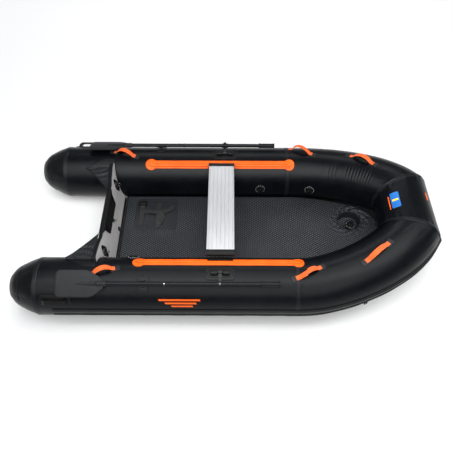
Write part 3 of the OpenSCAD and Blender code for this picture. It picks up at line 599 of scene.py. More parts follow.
def tail(side):
    """Gored tail cone with a round end patch; x runs forward from its tip."""
    length = 0.21
    xs = [0, 0.006, 0.012, 0.024, 0.040, 0.062, 0.090, 0.125, 0.165, 0.195, 0.205, length]
    shares = np.interp(xs, [0, 0.006, 0.012, 0.025, 0.040, 0.062, 0.090, 0.130, 0.170, length],
                       [0.30, 0.385, 0.45, 0.545, 0.62, 0.70, 0.765, 0.865, 0.94, 1.0])
    gore = np.abs(((ANGLES + 30) % 60) - 30) / 30.0
    rings = []
    for x, share in zip([0.0006, *xs], [0.15, *shares]):
        belly = math.sin(math.pi * min(1, x / length) ** 0.8)
        pinch = 1 - 0.030 * (1 - gore) ** 3 * belly - 0.006 * (x > 0.2)
        rings.append(hoop(TAIL_X + x, TUBE_Y, R, R * share * pinch, np.radians(ANGLES)))
    return mirrored(rings, side)


for side, sg in SIDES:
    rings = tail(sg)
    loft("tail_" + side, rings, PVC_TAIL, nodes=("tail_cone_" + side,), slot="coated_fabric")
    parts = []
    for k in range(6):
        a = math.radians(60 * k)
        line = rings[2:, round(k * AROUND / 6) % AROUND]
        parts.append(cord(line, mirrored([-0.35, math.sin(a), math.cos(a)], sg), 0.0035, flat=0.6))
    for x, share in ((0.012, 0.45), (0.090, 0.757)):
        seam = hoop(TAIL_X + x - 0.001, TUBE_Y, R, R * share, np.radians(ANGLES))
        out = seam - [TAIL_X + 0.2, TUBE_Y, R]
        parts.append(cord(mirrored(seam, sg), mirrored(out, sg), 0.003, closed=True, flat=0.7))
    add("tail_seams_" + side, *merge(parts), TAPE, slot="coated_fabric")


# ---------------------------------------------------------------- rub strake
def both_sides(half, middle=()):
    """A profile from its first half: across is mirrored, height is kept."""
    return np.array([*half, *middle, *((-a, h) for a, h in half[::-1])])


def strake():
    """Two lips and two ribs, round both shoulders and across the nose."""
    half = [(-11, .0004), (-11, .0040), (-10.4, .0052), (-9.6, .0055), (-8.6, .0062), (-8.0, .0090),
            (-7.4, .0118), (-6.5, .0129), (-5.6, .0118), (-5.0, .0090), (-4.4, .0062), (-3.2, .0054)]
    across, h = np.concatenate([both_sides(half, [(0, .0050)]), [(0, .0002)]]).T
    a = 90 + across
    stations = np.concatenate([np.arange(-1.24, BEND, 0.06), np.arange(BEND, 1.50, 0.02)])
    port = [skin(q, a, R + h + 0.0006 * math.sin(q * 31) * (h > 0.006)) for q in stations]
    bow = [nose_point(nose_edge(a, R + h) * s, a, R + h) for s in np.linspace(1, -1, 17)]
    return [*port, *bow, *(mirrored(r, -1) for r in port[::-1])]


loft("rub_strake_profile", strake(), STRAKE, nodes=("rub_strake",), slot="coated_fabric", sharp=50)

# ---------------------------------------------------------------- bottom and keel
DECK_TOP = 0.130
KEEL_FRONT = BOW_X - 0.05
FLOOR_BEND = 0.7        # forward of this the bottom and the deck rise


def lift(x, front, h, power):
    return h * np.clip((x - FLOOR_BEND) / (front - FLOOR_BEND), 0, None) ** power


def thin_section(x, y, z, thick=0.0016):
    """Ring round the cross-section at x of a thin sheet; (y, z) is its lower face."""
    low = np.stack([np.full(len(y), x), y, z], -1)
    return np.concatenate([low + [0, 0, thick], low[::-1]])


def bottom():
    """Fabric between the tubes: flat on the ground aft, rising to the bow."""
    t = np.linspace(-1, 1, 33)
    rows = []
    for q in np.concatenate([[-0.96], np.arange(-0.9, 0.56, 0.06), np.arange(0.58, 1.441, 0.02)]):
        x, y, side_z = skin(q, -163.0, R + 0.004)
        middle_z = min(0.003 + float(lift(x, KEEL_FRONT, CORNER[2] - R + 0.002, 3.2)), side_z - 0.002)
        wave = 0.0012 * np.sin(x * 40 + t * 3) * (1 - t * t) * (x > -0.9)
        rows.append(thin_section(x, t * y, middle_z + (side_z - middle_z) * np.abs(t) ** 2.2
                                 + np.maximum(wave, -0.002)))
    return rows


def keel():
    rings = []
    for x in np.linspace(-0.85, 0.75, 81):
        from_end = max(0, (abs(x + 0.05) - 0.765) / 0.036)
        end = min(1.0, math.sqrt(max(0.0, 1 - from_end ** 2)) + 0.05)
        rings.append(hoop(x, 0, 0.030, 0.0228 * end * (1 - 0.02 * abs(math.sin(x * 21))), turns(32)))
    return rings


loft("bottom_fabric", bottom(), PVC_GREY, nodes=("hull_bottom",), slot="coated_fabric", sharp=60)
loft("keel_chamber", keel(), PVC_GREY, nodes=("keel_tube",), slot="grey_fabric")

# ---------------------------------------------------------------- air deck
DECK_AFT, DECK_END, DECK_FRONT = -0.866, 1.222, 1.24
DECK_RISE = 0.062
DECK_ROUND = 0.190      # corner radius of the deck's front
HOLE = np.array([0.982, 0.092])
HOLE_R = 0.0925


def deck_z(x):
    return DECK_TOP + lift(x, DECK_FRONT, DECK_RISE, 2)


def tube_half(x, z):
    """How far from the middle the tube's inner wall is at x and height z."""
    lo, hi = np.full_like(x, BEND), np.full_like(x, END)
    for _ in range(30):
        mid = (lo + hi) / 2
        less = centre(mid)[..., 0] < x
        lo, hi = np.where(less, mid, lo), np.where(less, hi, mid)
    q = np.where(x <= BEND, x, (lo + hi) / 2)
    c = centre(q)
    h = c[..., 2] - z
    return c[..., 1] - np.sqrt(np.clip(R * R - h * h, 0, None)) / axes(q)[0][..., 0]


def deck_half(x):
    room = tube_half(x, deck_z(x)) - 0.006
    d = x - (DECK_FRONT - DECK_ROUND)
    rounded = room - DECK_ROUND + np.sqrt(np.clip(DECK_ROUND ** 2 - d * d, 1e-6, None))
    return np.where(d <= 0, room, np.minimum(room, rounded))


def deck_rows():
    """Cross-sections of the deck: rounded side walls, a flat top and drawn-in ends."""
    xs = np.concatenate([np.arange(DECK_AFT, 1.19, 0.0085), [1.196, 1.204, 1.211, 1.217, DECK_END]])
    t = np.linspace(-1, 1, 88)
    crown = -0.0006 * np.abs(t) ** 6 - 0.0001
    rows = []
    for x, w, top in zip(xs, deck_half(xs), deck_z(xs)):
        end = min(1.0, (x - DECK_AFT) / 0.012, (DECK_END - x) / 0.012)
        drop = 0.012 * (1 - math.sqrt(max(0.0, 1 - (1 - end) ** 2)))
        wall = [(-w + 0.010, -0.0745), (-w + 0.002, -0.068), (-w, -0.050), (-w, -0.030),
                (-w + 0.0006, -0.014), (-w + 0.0035, -0.0062), (-w + 0.0085, -0.0016)]
        line = both_sides(wall, zip(t * (w - 0.016), crown))
        rows.append([(x, y, top + h - (drop if h > -0.04 else 0)) for y, h in line])
    return rows


def deck_with_hole():
    """The deck with its top cut away over the hand hole, drawn to the hole's rim and gathered round it."""
    verts, faces = ring_part(deck_rows())
    d = verts[:, :2] - HOLE
    r = np.linalg.norm(d, axis=1)
    on_top = verts[:, 2] > deck_z(verts[:, 0]) - 0.006
    cut, reach = 0.076, 0.150
    gone = on_top & (r < cut)
    faces = [f for f in faces if not any(gone[k] for k in f)]
    uses = Counter(tuple(sorted(e)) for f in faces for e in zip(f, f[1:] + f[:1]))
    rim = [v for v in {v for e, n in uses.items() if n == 1 for v in e} if r[v] < reach]
    first_r = HOLE_R + 0.0015
    new_r = np.where(on_top & (r >= cut) & (r < reach),
                     first_r + (r - cut) * (reach - HOLE_R - 0.0015) / (reach - cut), r)
    new_r[rim] = HOLE_R
    verts[:, :2] = HOLE + d / np.maximum(r, 1e-9)[:, None] * new_r[:, None]
    near = np.clip((0.205 - new_r) / 0.11, 0, 1) * on_top
    k = np.arctan2(d[:, 1], d[:, 0])
    port_side = 0.45 + 0.55 * np.clip(np.sin(k + 0.5), 0, 1)
    gathers = (0.0085 * np.sin(9 * k + 14 * new_r / 0.1) + 0.0048 * np.sin(17 * k + 2)
               + 0.003 * np.sin(26 * k - 40 * new_r))
    verts[:, 2] += near ** 1.5 * port_side * gathers - 0.004 * near ** 3 * on_top
    used = sorted({v for f in faces for v in f})
    index = {v: i for i, v in enumerate(used)}
    return verts[used], [[index[v] for v in f] for f in faces]


def hole_sleeve():
    """Gathered fabric sleeve inside the hand hole."""
    k = turns(160)
    top = float(deck_z(HOLE[0]))
    slope = 2 * DECK_RISE * 0.282 / 0.54 ** 2     # of the deck at the hole
    rings = []
    for h, r in ((0.0045, 0.101), (0.0060, 0.0965), (0.0035, 0.0915), (-0.008, 0.0895), (-0.030, 0.0885),
                 (-0.060, 0.0870), (-0.0735, 0.0865)):
        gather = 1 + 0.022 * np.sin(11 * k + 8 * h / 0.05) + 0.014 * np.sin(23 * k + 1.7) + 0.008 * np.sin(37 * k)
        rr = r * (1 + (gather - 1) * (0.4 if h > 0.004 else 1.0))
        x, y = HOLE[0] + rr * np.cos(k), HOLE[1] + rr * np.sin(k)
        rings.append(np.stack([x, y, top + h + slope * (x - HOLE[0]) + 0.002 * np.sin(11 * k) * (h > 0)], -1))
    return ring_part(rings, caps=0)


def deck_piping():
    xs = np.concatenate([np.arange(-0.855, 1.20, 0.02), [1.207, 1.213]])
    w, z = deck_half(xs) - 0.014, deck_z(xs) + 0.0006
    loop = np.concatenate([np.stack([xs, -w, z], -1), np.stack([xs, w, z], -1)[::-1]])
    return cord(loop, Z_AXIS, 0.0024, closed=True, flat=0.8)


add("air_deck_skin", *deck_with_hole(), DECK, nodes=("air_deck",), slot="deck", sharp=60)
add("hand_hole_sleeve", *hole_sleeve(), PVC_GREY, slot="grey_fabric")
add("deck_edge_seam", *deck_piping(), TAPE, slot="coated_fabric")

# ---------------------------------------------------------------- transom
RAKE = math.radians(11)
UP = np.array([-math.sin(RAKE), 0, math.cos(RAKE)])
AFT = np.array([math.cos(RAKE), 0, math.sin(RAKE)])    # normal of the board's inner face
FOOT = np.array([-0.884, 0.0, DECK_TOP - 0.010])


def board_point(x, y, v):
    """x out of the inner face, y to port, v up the board."""
    x, y, v = np.broadcast_arrays(np.asarray(x, float), np.asarray(y, float), np.asarray(v, float))
    return FOOT + x[..., None] * AFT + y[..., None] * np.array([0, 1.0, 0]) + v[..., None] * UP


def board_plate(outline, x0, x1, edge):
    """A flat moulded plate on the board, with a rounded edge; outline is closed (y, v)."""
    o = np.array(outline, float)
    c = o.mean(0)
    along = unit(np.roll(o, -1, 0) - np.roll(o, 1, 0))
    out = np.stack([along[:, 1], -along[:, 0]], 1)
    if ((o - c) * out).sum() < 0:
        out = -out
    s = 1 if x1 > x0 else -1
    steps = [(x0, o)]
    for a in np.linspace(0, math.pi / 2, 5):
        steps.append((x1 - s * edge * (1 - math.sin(a)), o - out * edge * (1 - math.cos(a))))
    steps += [(x1, c + (o - out * edge - c) * k) for k in (0.86, 0.6, 0.3)]
    return ring_part([board_point(x, p[:, 0], p[:, 1]) for x, p in steps])


def smooth_outline(pts, r=0.012, gap=0.006):
    """Closed outline through pts with its corners rounded."""
    pts = np.array(pts, float)
    out = []
    for k, p in enumerate(pts):
        a, b = pts[k - 1] - p, pts[(k + 1) % len(pts)] - p
        la, lb = np.linalg.norm(a), np.linalg.norm(b)
        d = min(r, la * 0.45, lb * 0.45)
        s, e = p + a / la * d, p + b / lb * d
        for t in np.linspace(0, 1, 7):
            out.append((1 - t) ** 2 * s + 2 * t * (1 - t) * p + t * t * e)
    return dense(np.array(out), gap)


def circle(y, v, r, n=36):
    return np.stack([y + r * np.cos(turns(n)), v + r * np.sin(turns(n))], 1)


def motor_pad(node, mat, slot, foot, first_rib, x0, x1):
    """Plate hung over the board's top edge, with ribs across it; foot is its lower edge."""
    w = 0.175
    outline = smooth_outline([(-w - .04, .278), (-w, .262), (-w + .03, foot), (w - .03, foot), (w, .262),
                              (w + .04, .278), (0, .2785)], 0.010)
    y = np.linspace(-0.125, 0.125, 26)
    parts = [board_plate(outline, x0, x1, 0.002)]
    parts += [cord(board_point(x1, y, v), AFT * np.sign(x1), 0.0021, flat=0.8)
              for v in np.arange(first_rib, 0.262, 0.0115)]
    add(node + "_ribbed", *merge(parts), mat, nodes=(node,), slot=slot, sharp=50)


def arc_ring(mid, u, v, r, wire, n=40, a0=0.0, a1=360.0, sides=12):
    """A wire ring or bow in the plane of u and v."""
    closed = a1 - a0 >= 360
    k = np.radians(np.linspace(a0, a1, n, endpoint=not closed))
    p = mid + r * (np.cos(k)[:, None] * u + np.sin(k)[:, None] * v)
    return cord(p, np.cross(u, v), wire, sides, closed)


refine("transom_board", BOARD, 0.0035, 3, 30)
refine("transom_trim", BLACK, 0.0010, 2, 30)
motor_pad("motor_pad_inner", BLACK, "black_plastic", 0.166, 0.182, 0.0022, 0.0090)
motor_pad("motor_pad_outer", GREY, "grey_plastic", 0.11, 0.130, -0.0272, -0.0340)
refine("transom_seal", BLACK, 0.0012, 2, 30)
refine("drain_socket", BLACK, 0.0008, 2)
refine("drain_plug", GREY, 0.0009, 2)

EYE_V = 0.195
parts = []
for y in (0.326, -0.326):
    parts += [arc_ring(board_point(0.021, y, EYE_V), AFT, UP, 0.014, 0.003),
              board_plate(circle(y, EYE_V, 0.031), 0.0002, 0.0050, 0.0014)]
    parts += [board_plate(circle(y + b, EYE_V, 0.004, 9), 0.0050, 0.0068, 0.001) for b in (-0.021, 0.021)]
parts += [arc_ring(board_point(0.013, 0, 0.144), AFT, UP, 0.010, 0.0025),
          board_plate(circle(0, 0.144, 0.017), 0.0002, 0.0032, 0.0014)]
add("towing_eyes", *merge(parts), DARK_STEEL, nodes=("transom_eyes",), slot="steel", sharp=45)
parts = []
for y in (-0.322, 0.322):
    diamond = [(y - .040, EYE_V), (y - .012, EYE_V - .068), (y + .012, EYE_V - .068), (y + .040, EYE_V),
               (y + .012, EYE_V + .068), (y - .012, EYE_V + .068)]
    parts.append(board_plate(smooth_outline(diamond), -0.001, 0.0022, 0.0012))
add("eye_backing_plates", *merge(parts), BLACK, slot="black_plastic", sharp=50)

HOLD_X, HOLD_END = -1.174, -0.968
WEB_A, FLANGE_A = -33.0, -22.0


def web_rings(side):
    """Triangular web of slack fabric from the tube to the transom."""
    t = np.linspace(0, 1, 34)
    rows = []
    for s in np.linspace(0, 1, 44):
        x = HOLD_X + (HOLD_END - HOLD_X) * s
        a = skin(x, WEB_A, R + 0.005)
        reach = 0.012 + 0.215 * s ** 1.2
        waves = (0.0050 * np.sin(7 * t * (0.4 + s) * 2.2 + 9 * s) + 0.0032 * np.sin(19 * t + 23 * s + 5 * t * s)
                 + 0.0018 * np.sin(41 * s - 16 * t))
        fold = waves * (4 * t * (1 - t)) ** 0.6 * min(1, 3 * s) * (0.35 + 0.65 * (1 - s) ** 0.3)
        z = a[2] + 0.002 + 0.008 * s - t * 0.014 * s + fold + 0.004 * s * np.sin(np.pi * t)
        rows.append(thin_section(x, a[1] - t * reach, z))
    return mirrored(rows, side)


for side, sg in SIDES:
    rings = web_rings(sg)
    web = loft("transom_web_" + side, rings, PVC_GREY, nodes=("transom_holder_" + side,), slot="grey_fabric",
               sharp=60)
    flange = smooth_outline([(-.125, -.044), (.110, -.044), (.110, .038), (.020, .038)], 0.014)
    size = np.linalg.norm(flange - flange.mean(0), axis=1, keepdims=True)
    q0 = (HOLD_X + HOLD_END) / 2 + 0.020
    glued = mirrored([skin(x, WEB_A, R + 0.0062) for x in np.linspace(HOLD_X, HOLD_END, 30)], sg)
    free = rings[:, 33]
    parts = [patch_part(q0, FLANGE_A, flange, 0.0024, sg),
             bead(q0, FLANGE_A, shrunk(flange, 1 - 0.0084 / size), 0.0030, 0.0009, sg),
             cord(glued, Z_AXIS, 0.0042, 10), cord(free, Z_AXIS, 0.0034, 10, flat=0.8)]
    add("transom_flange_" + side, *merge(parts), TAPE, slot="grey_fabric", sharp=60)

# ---------------------------------------------------------------- seat and its tracks
TRACK_A, DISC_R = -25.0, 0.048
TRACK_X = (-0.686, 0.545)
DISC_X = (TRACK_X[0] + DISC_R, TRACK_X[1] - DISC_R)


def track(side):
    """Track between its end discs: two lips, two walls and a rope groove."""
    pa, ph = both_sides([(-9.0, .0006), (-9.0, .0030), (-8.5, .0038), (-5.9, .0042), (-5.3, .0050),
                         (-5.05, .0075), (-5.0, .0120), (-4.75, .0148), (-4.2, .0160), (-1.1, .0162),
                         (-0.75, .0157), (-0.6, .0145), (-0.6, .0082)]).T
    xs = [DISC_X[0], *np.linspace(DISC_X[0] + 0.004, DISC_X[1] - 0.004, 90), DISC_X[1]]
    rings = [skin(x, TRACK_A + pa * (1 + 0.006 * math.sin(x * 17)), R + ph + 0.0003 * np.sin(x * 23 + pa))
             for x in xs]
    return ring_part(mirrored(rings, side))


for side, sg in SIDES:
    parts = [track(sg)]
    for x in DISC_X:
        disc = circle(0, 0, DISC_R, 60)
        parts += [patch_part(x, TRACK_A, disc, 0.0046, sg, rim=0.003),
                  bead(x, TRACK_A, disc * 0.93, 0.0046, 0.0016, sg),
                  patch_part(x, TRACK_A, circle(0, 0, 0.0185, 60), 0.0160, sg, rim=0.004)]
    xs = np.linspace(TRACK_X[0] + 0.05, TRACK_X[1] - 0.05, 60)
    for off in (-8.1, 8.1):
        p = skin(xs, off + TRACK_A, R + 0.0040)
        parts.append(cord(mirrored(p, sg), mirrored(p - centre(xs), sg), 0.0009, 6))
    add("seat_track_%s_rubber" % side, *merge(parts), ORANGE, nodes=("seat_track_" + side,),
        slot="orange_rubber", sharp=55)

SEAT_X, SEAT_W, SEAT_T, SEAT_TOP, SPAN = -0.059, 0.202, 0.030, 0.461, 0.828


def plank():
    """Extruded plank: rounded edges, a groove near each and five grooves between them."""
    w, t, r = SEAT_W / 2, SEAT_T, 0.0035
    edge = [(-w, -r), (-w + r * 0.3, -r * 0.3), (-w + r, 0), (-w + 0.0115, 0), (-w + 0.0125, -0.0016),
            (-w + 0.0155, -0.0016), (-w + 0.0165, 0)]
    groove = ((-0.0022, 0), (-0.0012, -0.0007), (0.0012, -0.0007), (0.0022, 0))
    top = both_sides(edge, [(k * 0.030 + x, h) for k in range(-2, 3) for x, h in groove])
    low = both_sides([(w, -t + r), (w - r * 0.3, -t + r * 0.3), (w - r, -t), (w / 3 + 0.003, -t),
                      (w / 3, -t + 0.001)])
    prof = np.concatenate([top, low])
    return [np.stack([SEAT_X + prof[:, 0], np.full(len(prof), y), SEAT_TOP + prof[:, 1]], -1)
            for y in np.linspace(-SPAN / 2, SPAN / 2, 41)]


loft("seat_plank_extrusion", plank(), PLANK, "seat", ("seat_plank",), "aluminium", sharp=30)
for side, _ in SIDES:
    refine("seat_cap_" + side, BLACK, 0.0022, 3, 25)

# ---------------------------------------------------------------- webbing handles
# name, (station, angle) of each end, height of the bow
HANDLES = (("aft_port", (-.955, 9), (-.774, -5), .046), ("mid_port", (.504, 25), (.739, 3), .046),
           ("bow_port", (1.043, 9), (1.248, -3), .040), ("aft_starboard", (-.967, 8), (-.797, -7), .046),
           ("mid_starboard", (.469, 13), (.700, -7), .046), ("bow_starboard", (1.010, 9), (1.226, -3), .040))
STRAP_W = 0.032


def squarish(k, round_w=0.35, round_t=0.6):
    """A unit ring flattened to a strap's section."""
    c, d = np.cos(k), np.sin(k)
    return np.copysign(np.abs(c) ** round_w, c), np.copysign(np.abs(d) ** round_t, d)


def strap_point(ends, s, w, h):
    """Point at share s of a handle, w across it and h above the tube."""
    (q0, a0), (q1, a1) = ends
    dq, da = q1 - q0, a1 - a0
    v = unit(np.array([dq, math.radians(da) * R]))
    return skin(q0 + dq * s - v[1] * w, a0 + da * s + np.degrees(v[0] * w / R), R + h)


def strap_rings(ends, peak, side):
    s = np.concatenate([np.linspace(0, 0.12, 8), np.linspace(0.128, 0.872, 56), np.linspace(0.88, 1, 8)])
    inside = np.clip((s - 0.12) / 0.76, 0, 1)
    lifts = 0.0042 + peak * np.sin(np.pi * inside) ** 0.7 * (s > 0.12) * (s < 0.88)
    lifts = np.convolve(np.pad(lifts, 3, mode="edge"), np.ones(7) / 7, "valid")
    c, d = squarish(turns(20))
    w = c * STRAP_W / 2
    rings = []
    for si, free, lifted in zip(s, inside, lifts):
        cup = 0.0020 * (1 - (w / (STRAP_W / 2)) ** 2) * math.sin(math.pi * free)
        rings.append(strap_point(ends, si, w, lifted + 0.0017 + d * 0.0018 + cup))
    return mirrored(rings, side)


for name, e0, e1, peak in HANDLES:
    node = "grab_handle_" + name
    sg = 1 if name.endswith("port") else -1
    loft(node + "_webbing", strap_rings((e0, e1), peak, sg), ORANGE_WEB, nodes=(node,), slot="orange_webbing",
         sharp=60)

patches, stitches = [], []
for name, e0, e1, peak in HANDLES:
    sg = 1 if name.endswith("port") else -1
    dq, da = e1[0] - e0[0], e1[1] - e0[1]
    turn = math.atan2(math.radians(da) * R, dq)
    c, d = math.cos(turn), math.sin(turn)
    rot = np.array([[c, d], [-d, c]])
    for (qe, ae), sign in ((e0, 1), (e1, -1)):
        at = (qe + sign * 0.001 * c / speed(qe), ae + sign * math.degrees(0.001 * d / R))
        patches.append(patch_part(*at, rounded_loop(0.070, 0.048, 0.008) @ rot, 0.0030, sg, rim=0.002))
        patches.append(bead(*at, rounded_loop(0.064, 0.042, 0.006) @ rot, 0.0030, 0.0011, sg))
        dashes = [([[t, off], [t + 0.0018, off], [t + 0.0036, off]], 0.0078) for off in (-0.0130, 0.0130)
                  for t in np.arange(0.003, 0.0300, 0.0055) * sign]
        dashes += [([[end * sign, t], [end * sign, t + 0.0016], [end * sign, t + 0.0032]],
                    0.0078 if end > 0 else 0.0036)
                   for t in np.arange(-0.012, 0.0125, 0.0050) for end in (0.004, 0.026, -0.024)]
        stitches += [bead(*at, np.array(line) @ rot, h, 0.0007, sg, closed=False, sides=6) for line, h in dashes]
add("handle_patches_moulded", *merge(patches), PVC_GREY, nodes=("handle_patches",), slot="grey_fabric", sharp=55)
add("handle_stitching", *merge(stitches), THREAD, slot="black_webbing")

# ---------------------------------------------------------------- carrying handles, rowlocks, clips
OAR_A, HINGE_A = 25.0, 3.0
ROW = {"port": -0.033, "starboard": -0.059}
FAR_OAR = {"port": 0.026, "starboard": 0.0}    # how much further forward an oar lies


def ridges(q, a, loops, h, side):
    """Raised ridges on a pad: each loop is (length, width, corner radius, wire radius)."""
    return [bead(q, a, rounded_loop(l, w, r), h, wire, side) for l, w, r, wire in loops]


refine("carry_handles", BLACK, 0.0035, 3, 28)
parts = []
for side, sg in SIDES:
    parts += ridges(-1.206, 57.0, ((0.214, 0.074, 0.024, 0.0026), (0.176, 0.050, 0.024, 0.0026)), 0.0046, sg)
add("carry_handle_ribs", *merge(parts), BLACK, slot="black_plastic")


def barrel_ribs(x0, side):
    """Ridged housing over one hinge barrel."""
    k = np.radians(np.linspace(-100, 100, 25))
    hinge = math.radians(HINGE_A)
    across = np.array([0, math.cos(hinge), -math.sin(hinge)])
    rings = []
    for x in np.linspace(-0.027, 0.027, 37):
        rib = 0.0012 * (0.5 + 0.5 * math.cos(x * 2 * math.pi / 0.0068))
        r = (0.0122 + rib) * math.sqrt(max(0.05, 1 - (abs(x) / 0.0275) ** 8))
        p, n = on_skin(x0, HINGE_A, [[x, 0.0]], 0.0)
        rings.append(p[0] + (np.sin(k) * r * 1.55)[:, None] * across + (0.015 + np.cos(k) * r)[:, None] * n[0])
    return ring_part(mirrored(rings, side))


for side, sg in SIDES:
    refine("rowlock_base_" + side, BLACK, 0.0012, 2, 30)
    refine("rowlock_knuckle_" + side, GREY, 0.0022, 3, 30)
    x = ROW[side]
    parts = ridges(x, HINGE_A, ((0.200, 0.098, 0.024, 0.0022), (0.176, 0.066, 0.028, 0.0020)), 0.0036, sg)
    parts += [barrel_ribs(x - 0.044, sg), barrel_ribs(x + 0.044, sg)]
    add("rowlock_pad_ribs_" + side, *merge(parts), BLACK, slot="black_plastic")
    p, n = (mirrored(v[0], sg) for v in on_skin(x, OAR_A, [[0.0, 0.0]], 0.058))
    u = unit(np.cross(n, [1.0, 0, 0]))
    w = np.cross(n, u)
    k = turns(18)[:, None]
    head = [p + n * h + r * (np.cos(k) * u + np.sin(k) * w) for r, h in
            ((.0078, 0.0), (.0078, .0012), (.0066, .0028), (.0036, .0034), (.0004, .0036))]
    loft("rowlock_pin_head_" + side, head, DARK_STEEL, "rowlock_" + side, slot="steel", sharp=50)

refine("oar_clips", BLACK, 0.0022, 3, 28)
parts = []
for side, sg in SIDES:
    parts += ridges(-0.594 + FAR_OAR[side], OAR_A, ((0.076, 0.108, 0.020, 0.0016), (0.056, 0.088, 0.020, 0.0016)),
                    0.0046, sg)
add("oar_clip_pad_ribs", *merge(parts), BLACK, slot="black_plastic")

# ---------------------------------------------------------------- oars
OAR_H = 0.032
TIP, SOCKET, GRIP, BUTT = -1.192, -0.842, 0.226, 0.356


def oar_frame(side):
    """A point of the stowed oar's axis, the direction across the blade and the one out of the tube."""
    c, d = math.cos(math.radians(OAR_A)), math.sin(math.radians(OAR_A))
    n, s = np.array([0, d, c]), np.array([0, c, -d])
    o = np.array([FAR_OAR[side], TUBE_Y, R]) + (R + OAR_H) * n
    sg = dict(SIDES)[side]
    return mirrored(o, sg), mirrored(s, sg), mirrored(n, sg)


def turned_part(side, prof):
    """A round part along the oar's axis from its (x, radius) profile."""
    o, s, n = oar_frame(side)
    k = turns(32)[:, None]
    return ring_part([o + [x, 0, 0] + r * (np.cos(k) * s + np.sin(k) * n) for x, r in prof])


def blade(side):
    """Moulded blade: rounded edge, dished halves, long tapering rib and ribbed collar."""
    o, s, n = oar_frame(side)
    us = np.concatenate([TIP + 0.034 * (1 - np.cos(np.linspace(0, np.pi / 2, 9))),
                         np.linspace(-1.145, -0.985, 20), np.linspace(-0.975, SOCKET - 0.018, 20)])
    tip = 0.061 + np.sqrt(np.clip(0.034 ** 2 - (us - TIP - 0.034) ** 2, 0, None))
    knots = [-0.985, -0.965, -0.942, -0.90, SOCKET - 0.018]
    halves = [np.where(us < -1.158, tip, np.interp(us, knots, widths)) for widths in
              ([0.095, 0.088, 0.078, 0.054, 0.022], [0.095, 0.0945, 0.091, 0.066, 0.032])]
    k = np.linspace(-1, 1, 33)
    rings = []
    for u, inner, outer in zip(us, *halves):
        h = np.where(k < 0, inner, outer)
        v = k * h
        end = min(1, max(0.25, (u - TIP) / 0.01 + 0.25))
        rib_r = np.interp(u, [TIP + 0.07, TIP + 0.23, SOCKET - 0.06], [0.0, 0.0112, 0.0125])
        body = 0.0030 * np.sqrt(np.clip(1 - np.abs(k) ** 8, 0, 1)) * end
        rim = 0.0010 * bump(np.abs(v) - (h - 0.007), 0.003)
        top = np.maximum(body + rim, np.sqrt(np.clip(rib_r ** 2 - v ** 2, 0, None)))
        dish = 0.006 * (np.abs(v) / 0.095) ** 2
        line = o + [u, 0, 0] + v[:, None] * s
        rings.append(np.concatenate([line + (top - dish)[:, None] * n, (line - (top + dish)[:, None] * n)[-2:0:-1]]))
    collar = [(-0.072, .0122), (-0.064, .0165), (-0.058, .0186), (-0.054, .0192), (-0.048, .0192), (-0.046, .0182),
              (-0.040, .0182), (-0.038, .0192), (-0.030, .0192), (-0.028, .0182), (-0.022, .0182),
              (-0.020, .0192), (-0.004, .0192), (0, .0182), (0.0005, .0152)]
    return merge([ring_part(rings), turned_part(side, [(SOCKET + x, r) for x, r in collar])])


def grip(side):
    prof = [(GRIP, .0152), (GRIP, .0195), (GRIP + .0015, .0208), (GRIP + .0065, .0208), (GRIP + .0085, .0186)]
    for x in np.arange(GRIP + 0.012, BUTT - 0.012, 0.0058):
        prof += [(x, .0176), (x + 0.0012, .0184), (x + 0.0032, .0184), (x + 0.0044, .0176)]
    prof += [(BUTT - .0085, .0186), (BUTT - .0065, .0208), (BUTT - .0020, .0208), (BUTT - .0004, .0190),
             (BUTT, .0150), (BUTT, .0040)]
    return turned_part(side, prof)


JOINT = [(-0.4045, .0151), (-0.4045, .0162), (-0.4035, .0168), (-0.3965, .0168), (-0.3955, .0162),
         (-0.3955, .0151)]
for side, _ in SIDES:
    body = "oar_" + side
    add("oar_blade_%s_moulded" % side, *blade(side), BLADE, body, ("oar_blade_" + side,), "grey_plastic", 50)
    add("oar_grip_%s_ribbed" % side, *grip(side), BLACK, body, ("oar_grip_" + side,), "black_plastic", 50)
    add("oar_collars_" + side, *turned_part(side, JOINT), BLACK, body, slot="black_plastic", sharp=50)
    coat("oar_shaft_lower_" + side, SHAFT)
    coat("oar_shaft_upper_" + side, SHAFT)
    coat("oar_button_" + side, STEEL)

# ---------------------------------------------------------------- valves
refine("valve_bodies", BLACK, 0.0012, 2, 30)
for node in ("valve_cap_port", "valve_cap_starboard", "valve_cap_bow", "keel_valve_cap"):
    refine(node, BLACK, 0.0012, 2, 30)


def valve_frame(q, a, side, lift=0.0):
    """A valve's middle, the directions along and round the tube, and the one out of it."""
    p, n = (mirrored(v[0], side) for v in on_skin(q, a, [[0.0, 0.0]], lift))
    t = mirrored(axes(q)[0], side)
    return p, unit(t), unit(np.cross(n, t)), n


VALVES = (("valve_cap_port", valve_frame(0.263, -83.0, 1)),
          ("valve_cap_starboard", valve_frame(-0.694, -50.0, -1)),
          ("valve_cap_bow", valve_frame(0.736, -85.0, 1, 0.0016)),
          ("keel_valve_cap", (np.array([1.004, 0.076, 0.112]), *np.eye(3))))
# pale dashed rings round each valve: a painted highlight on its rim
rim_highlights = []
for node, (p, u, v, n) in VALVES:
    for k in range(14):
        a0 = k * 360 / 14 + 4
        rim_highlights.append(arc_ring(p + n * 0.0034, u, v, 0.0370, 0.0013, 6, a0, a0 + 360 / 14 * 0.62, 6))
    ribs = []
    for a in turns(20):
        d = np.cos(a) * u + np.sin(a) * v
        ribs.append(cord([p + d * 0.0284 + n * h for h in (0.0102, 0.0125, 0.0150)], d, 0.0011, 6))
    add(node + "_ribs", *merge(ribs), BLACK, node, slot="grey_plastic")
add("valve_rims_painted_highlight", *merge(rim_highlights), PAINTED_RIM_HIGHLIGHT, slot="grey_fabric")

# ---------------------------------------------------------------- towing rings
refine("tow_patches", BLACK, 0.0012, 2, 30)
for side, _ in SIDES:
    coat("tow_ring_" + side, STEEL)


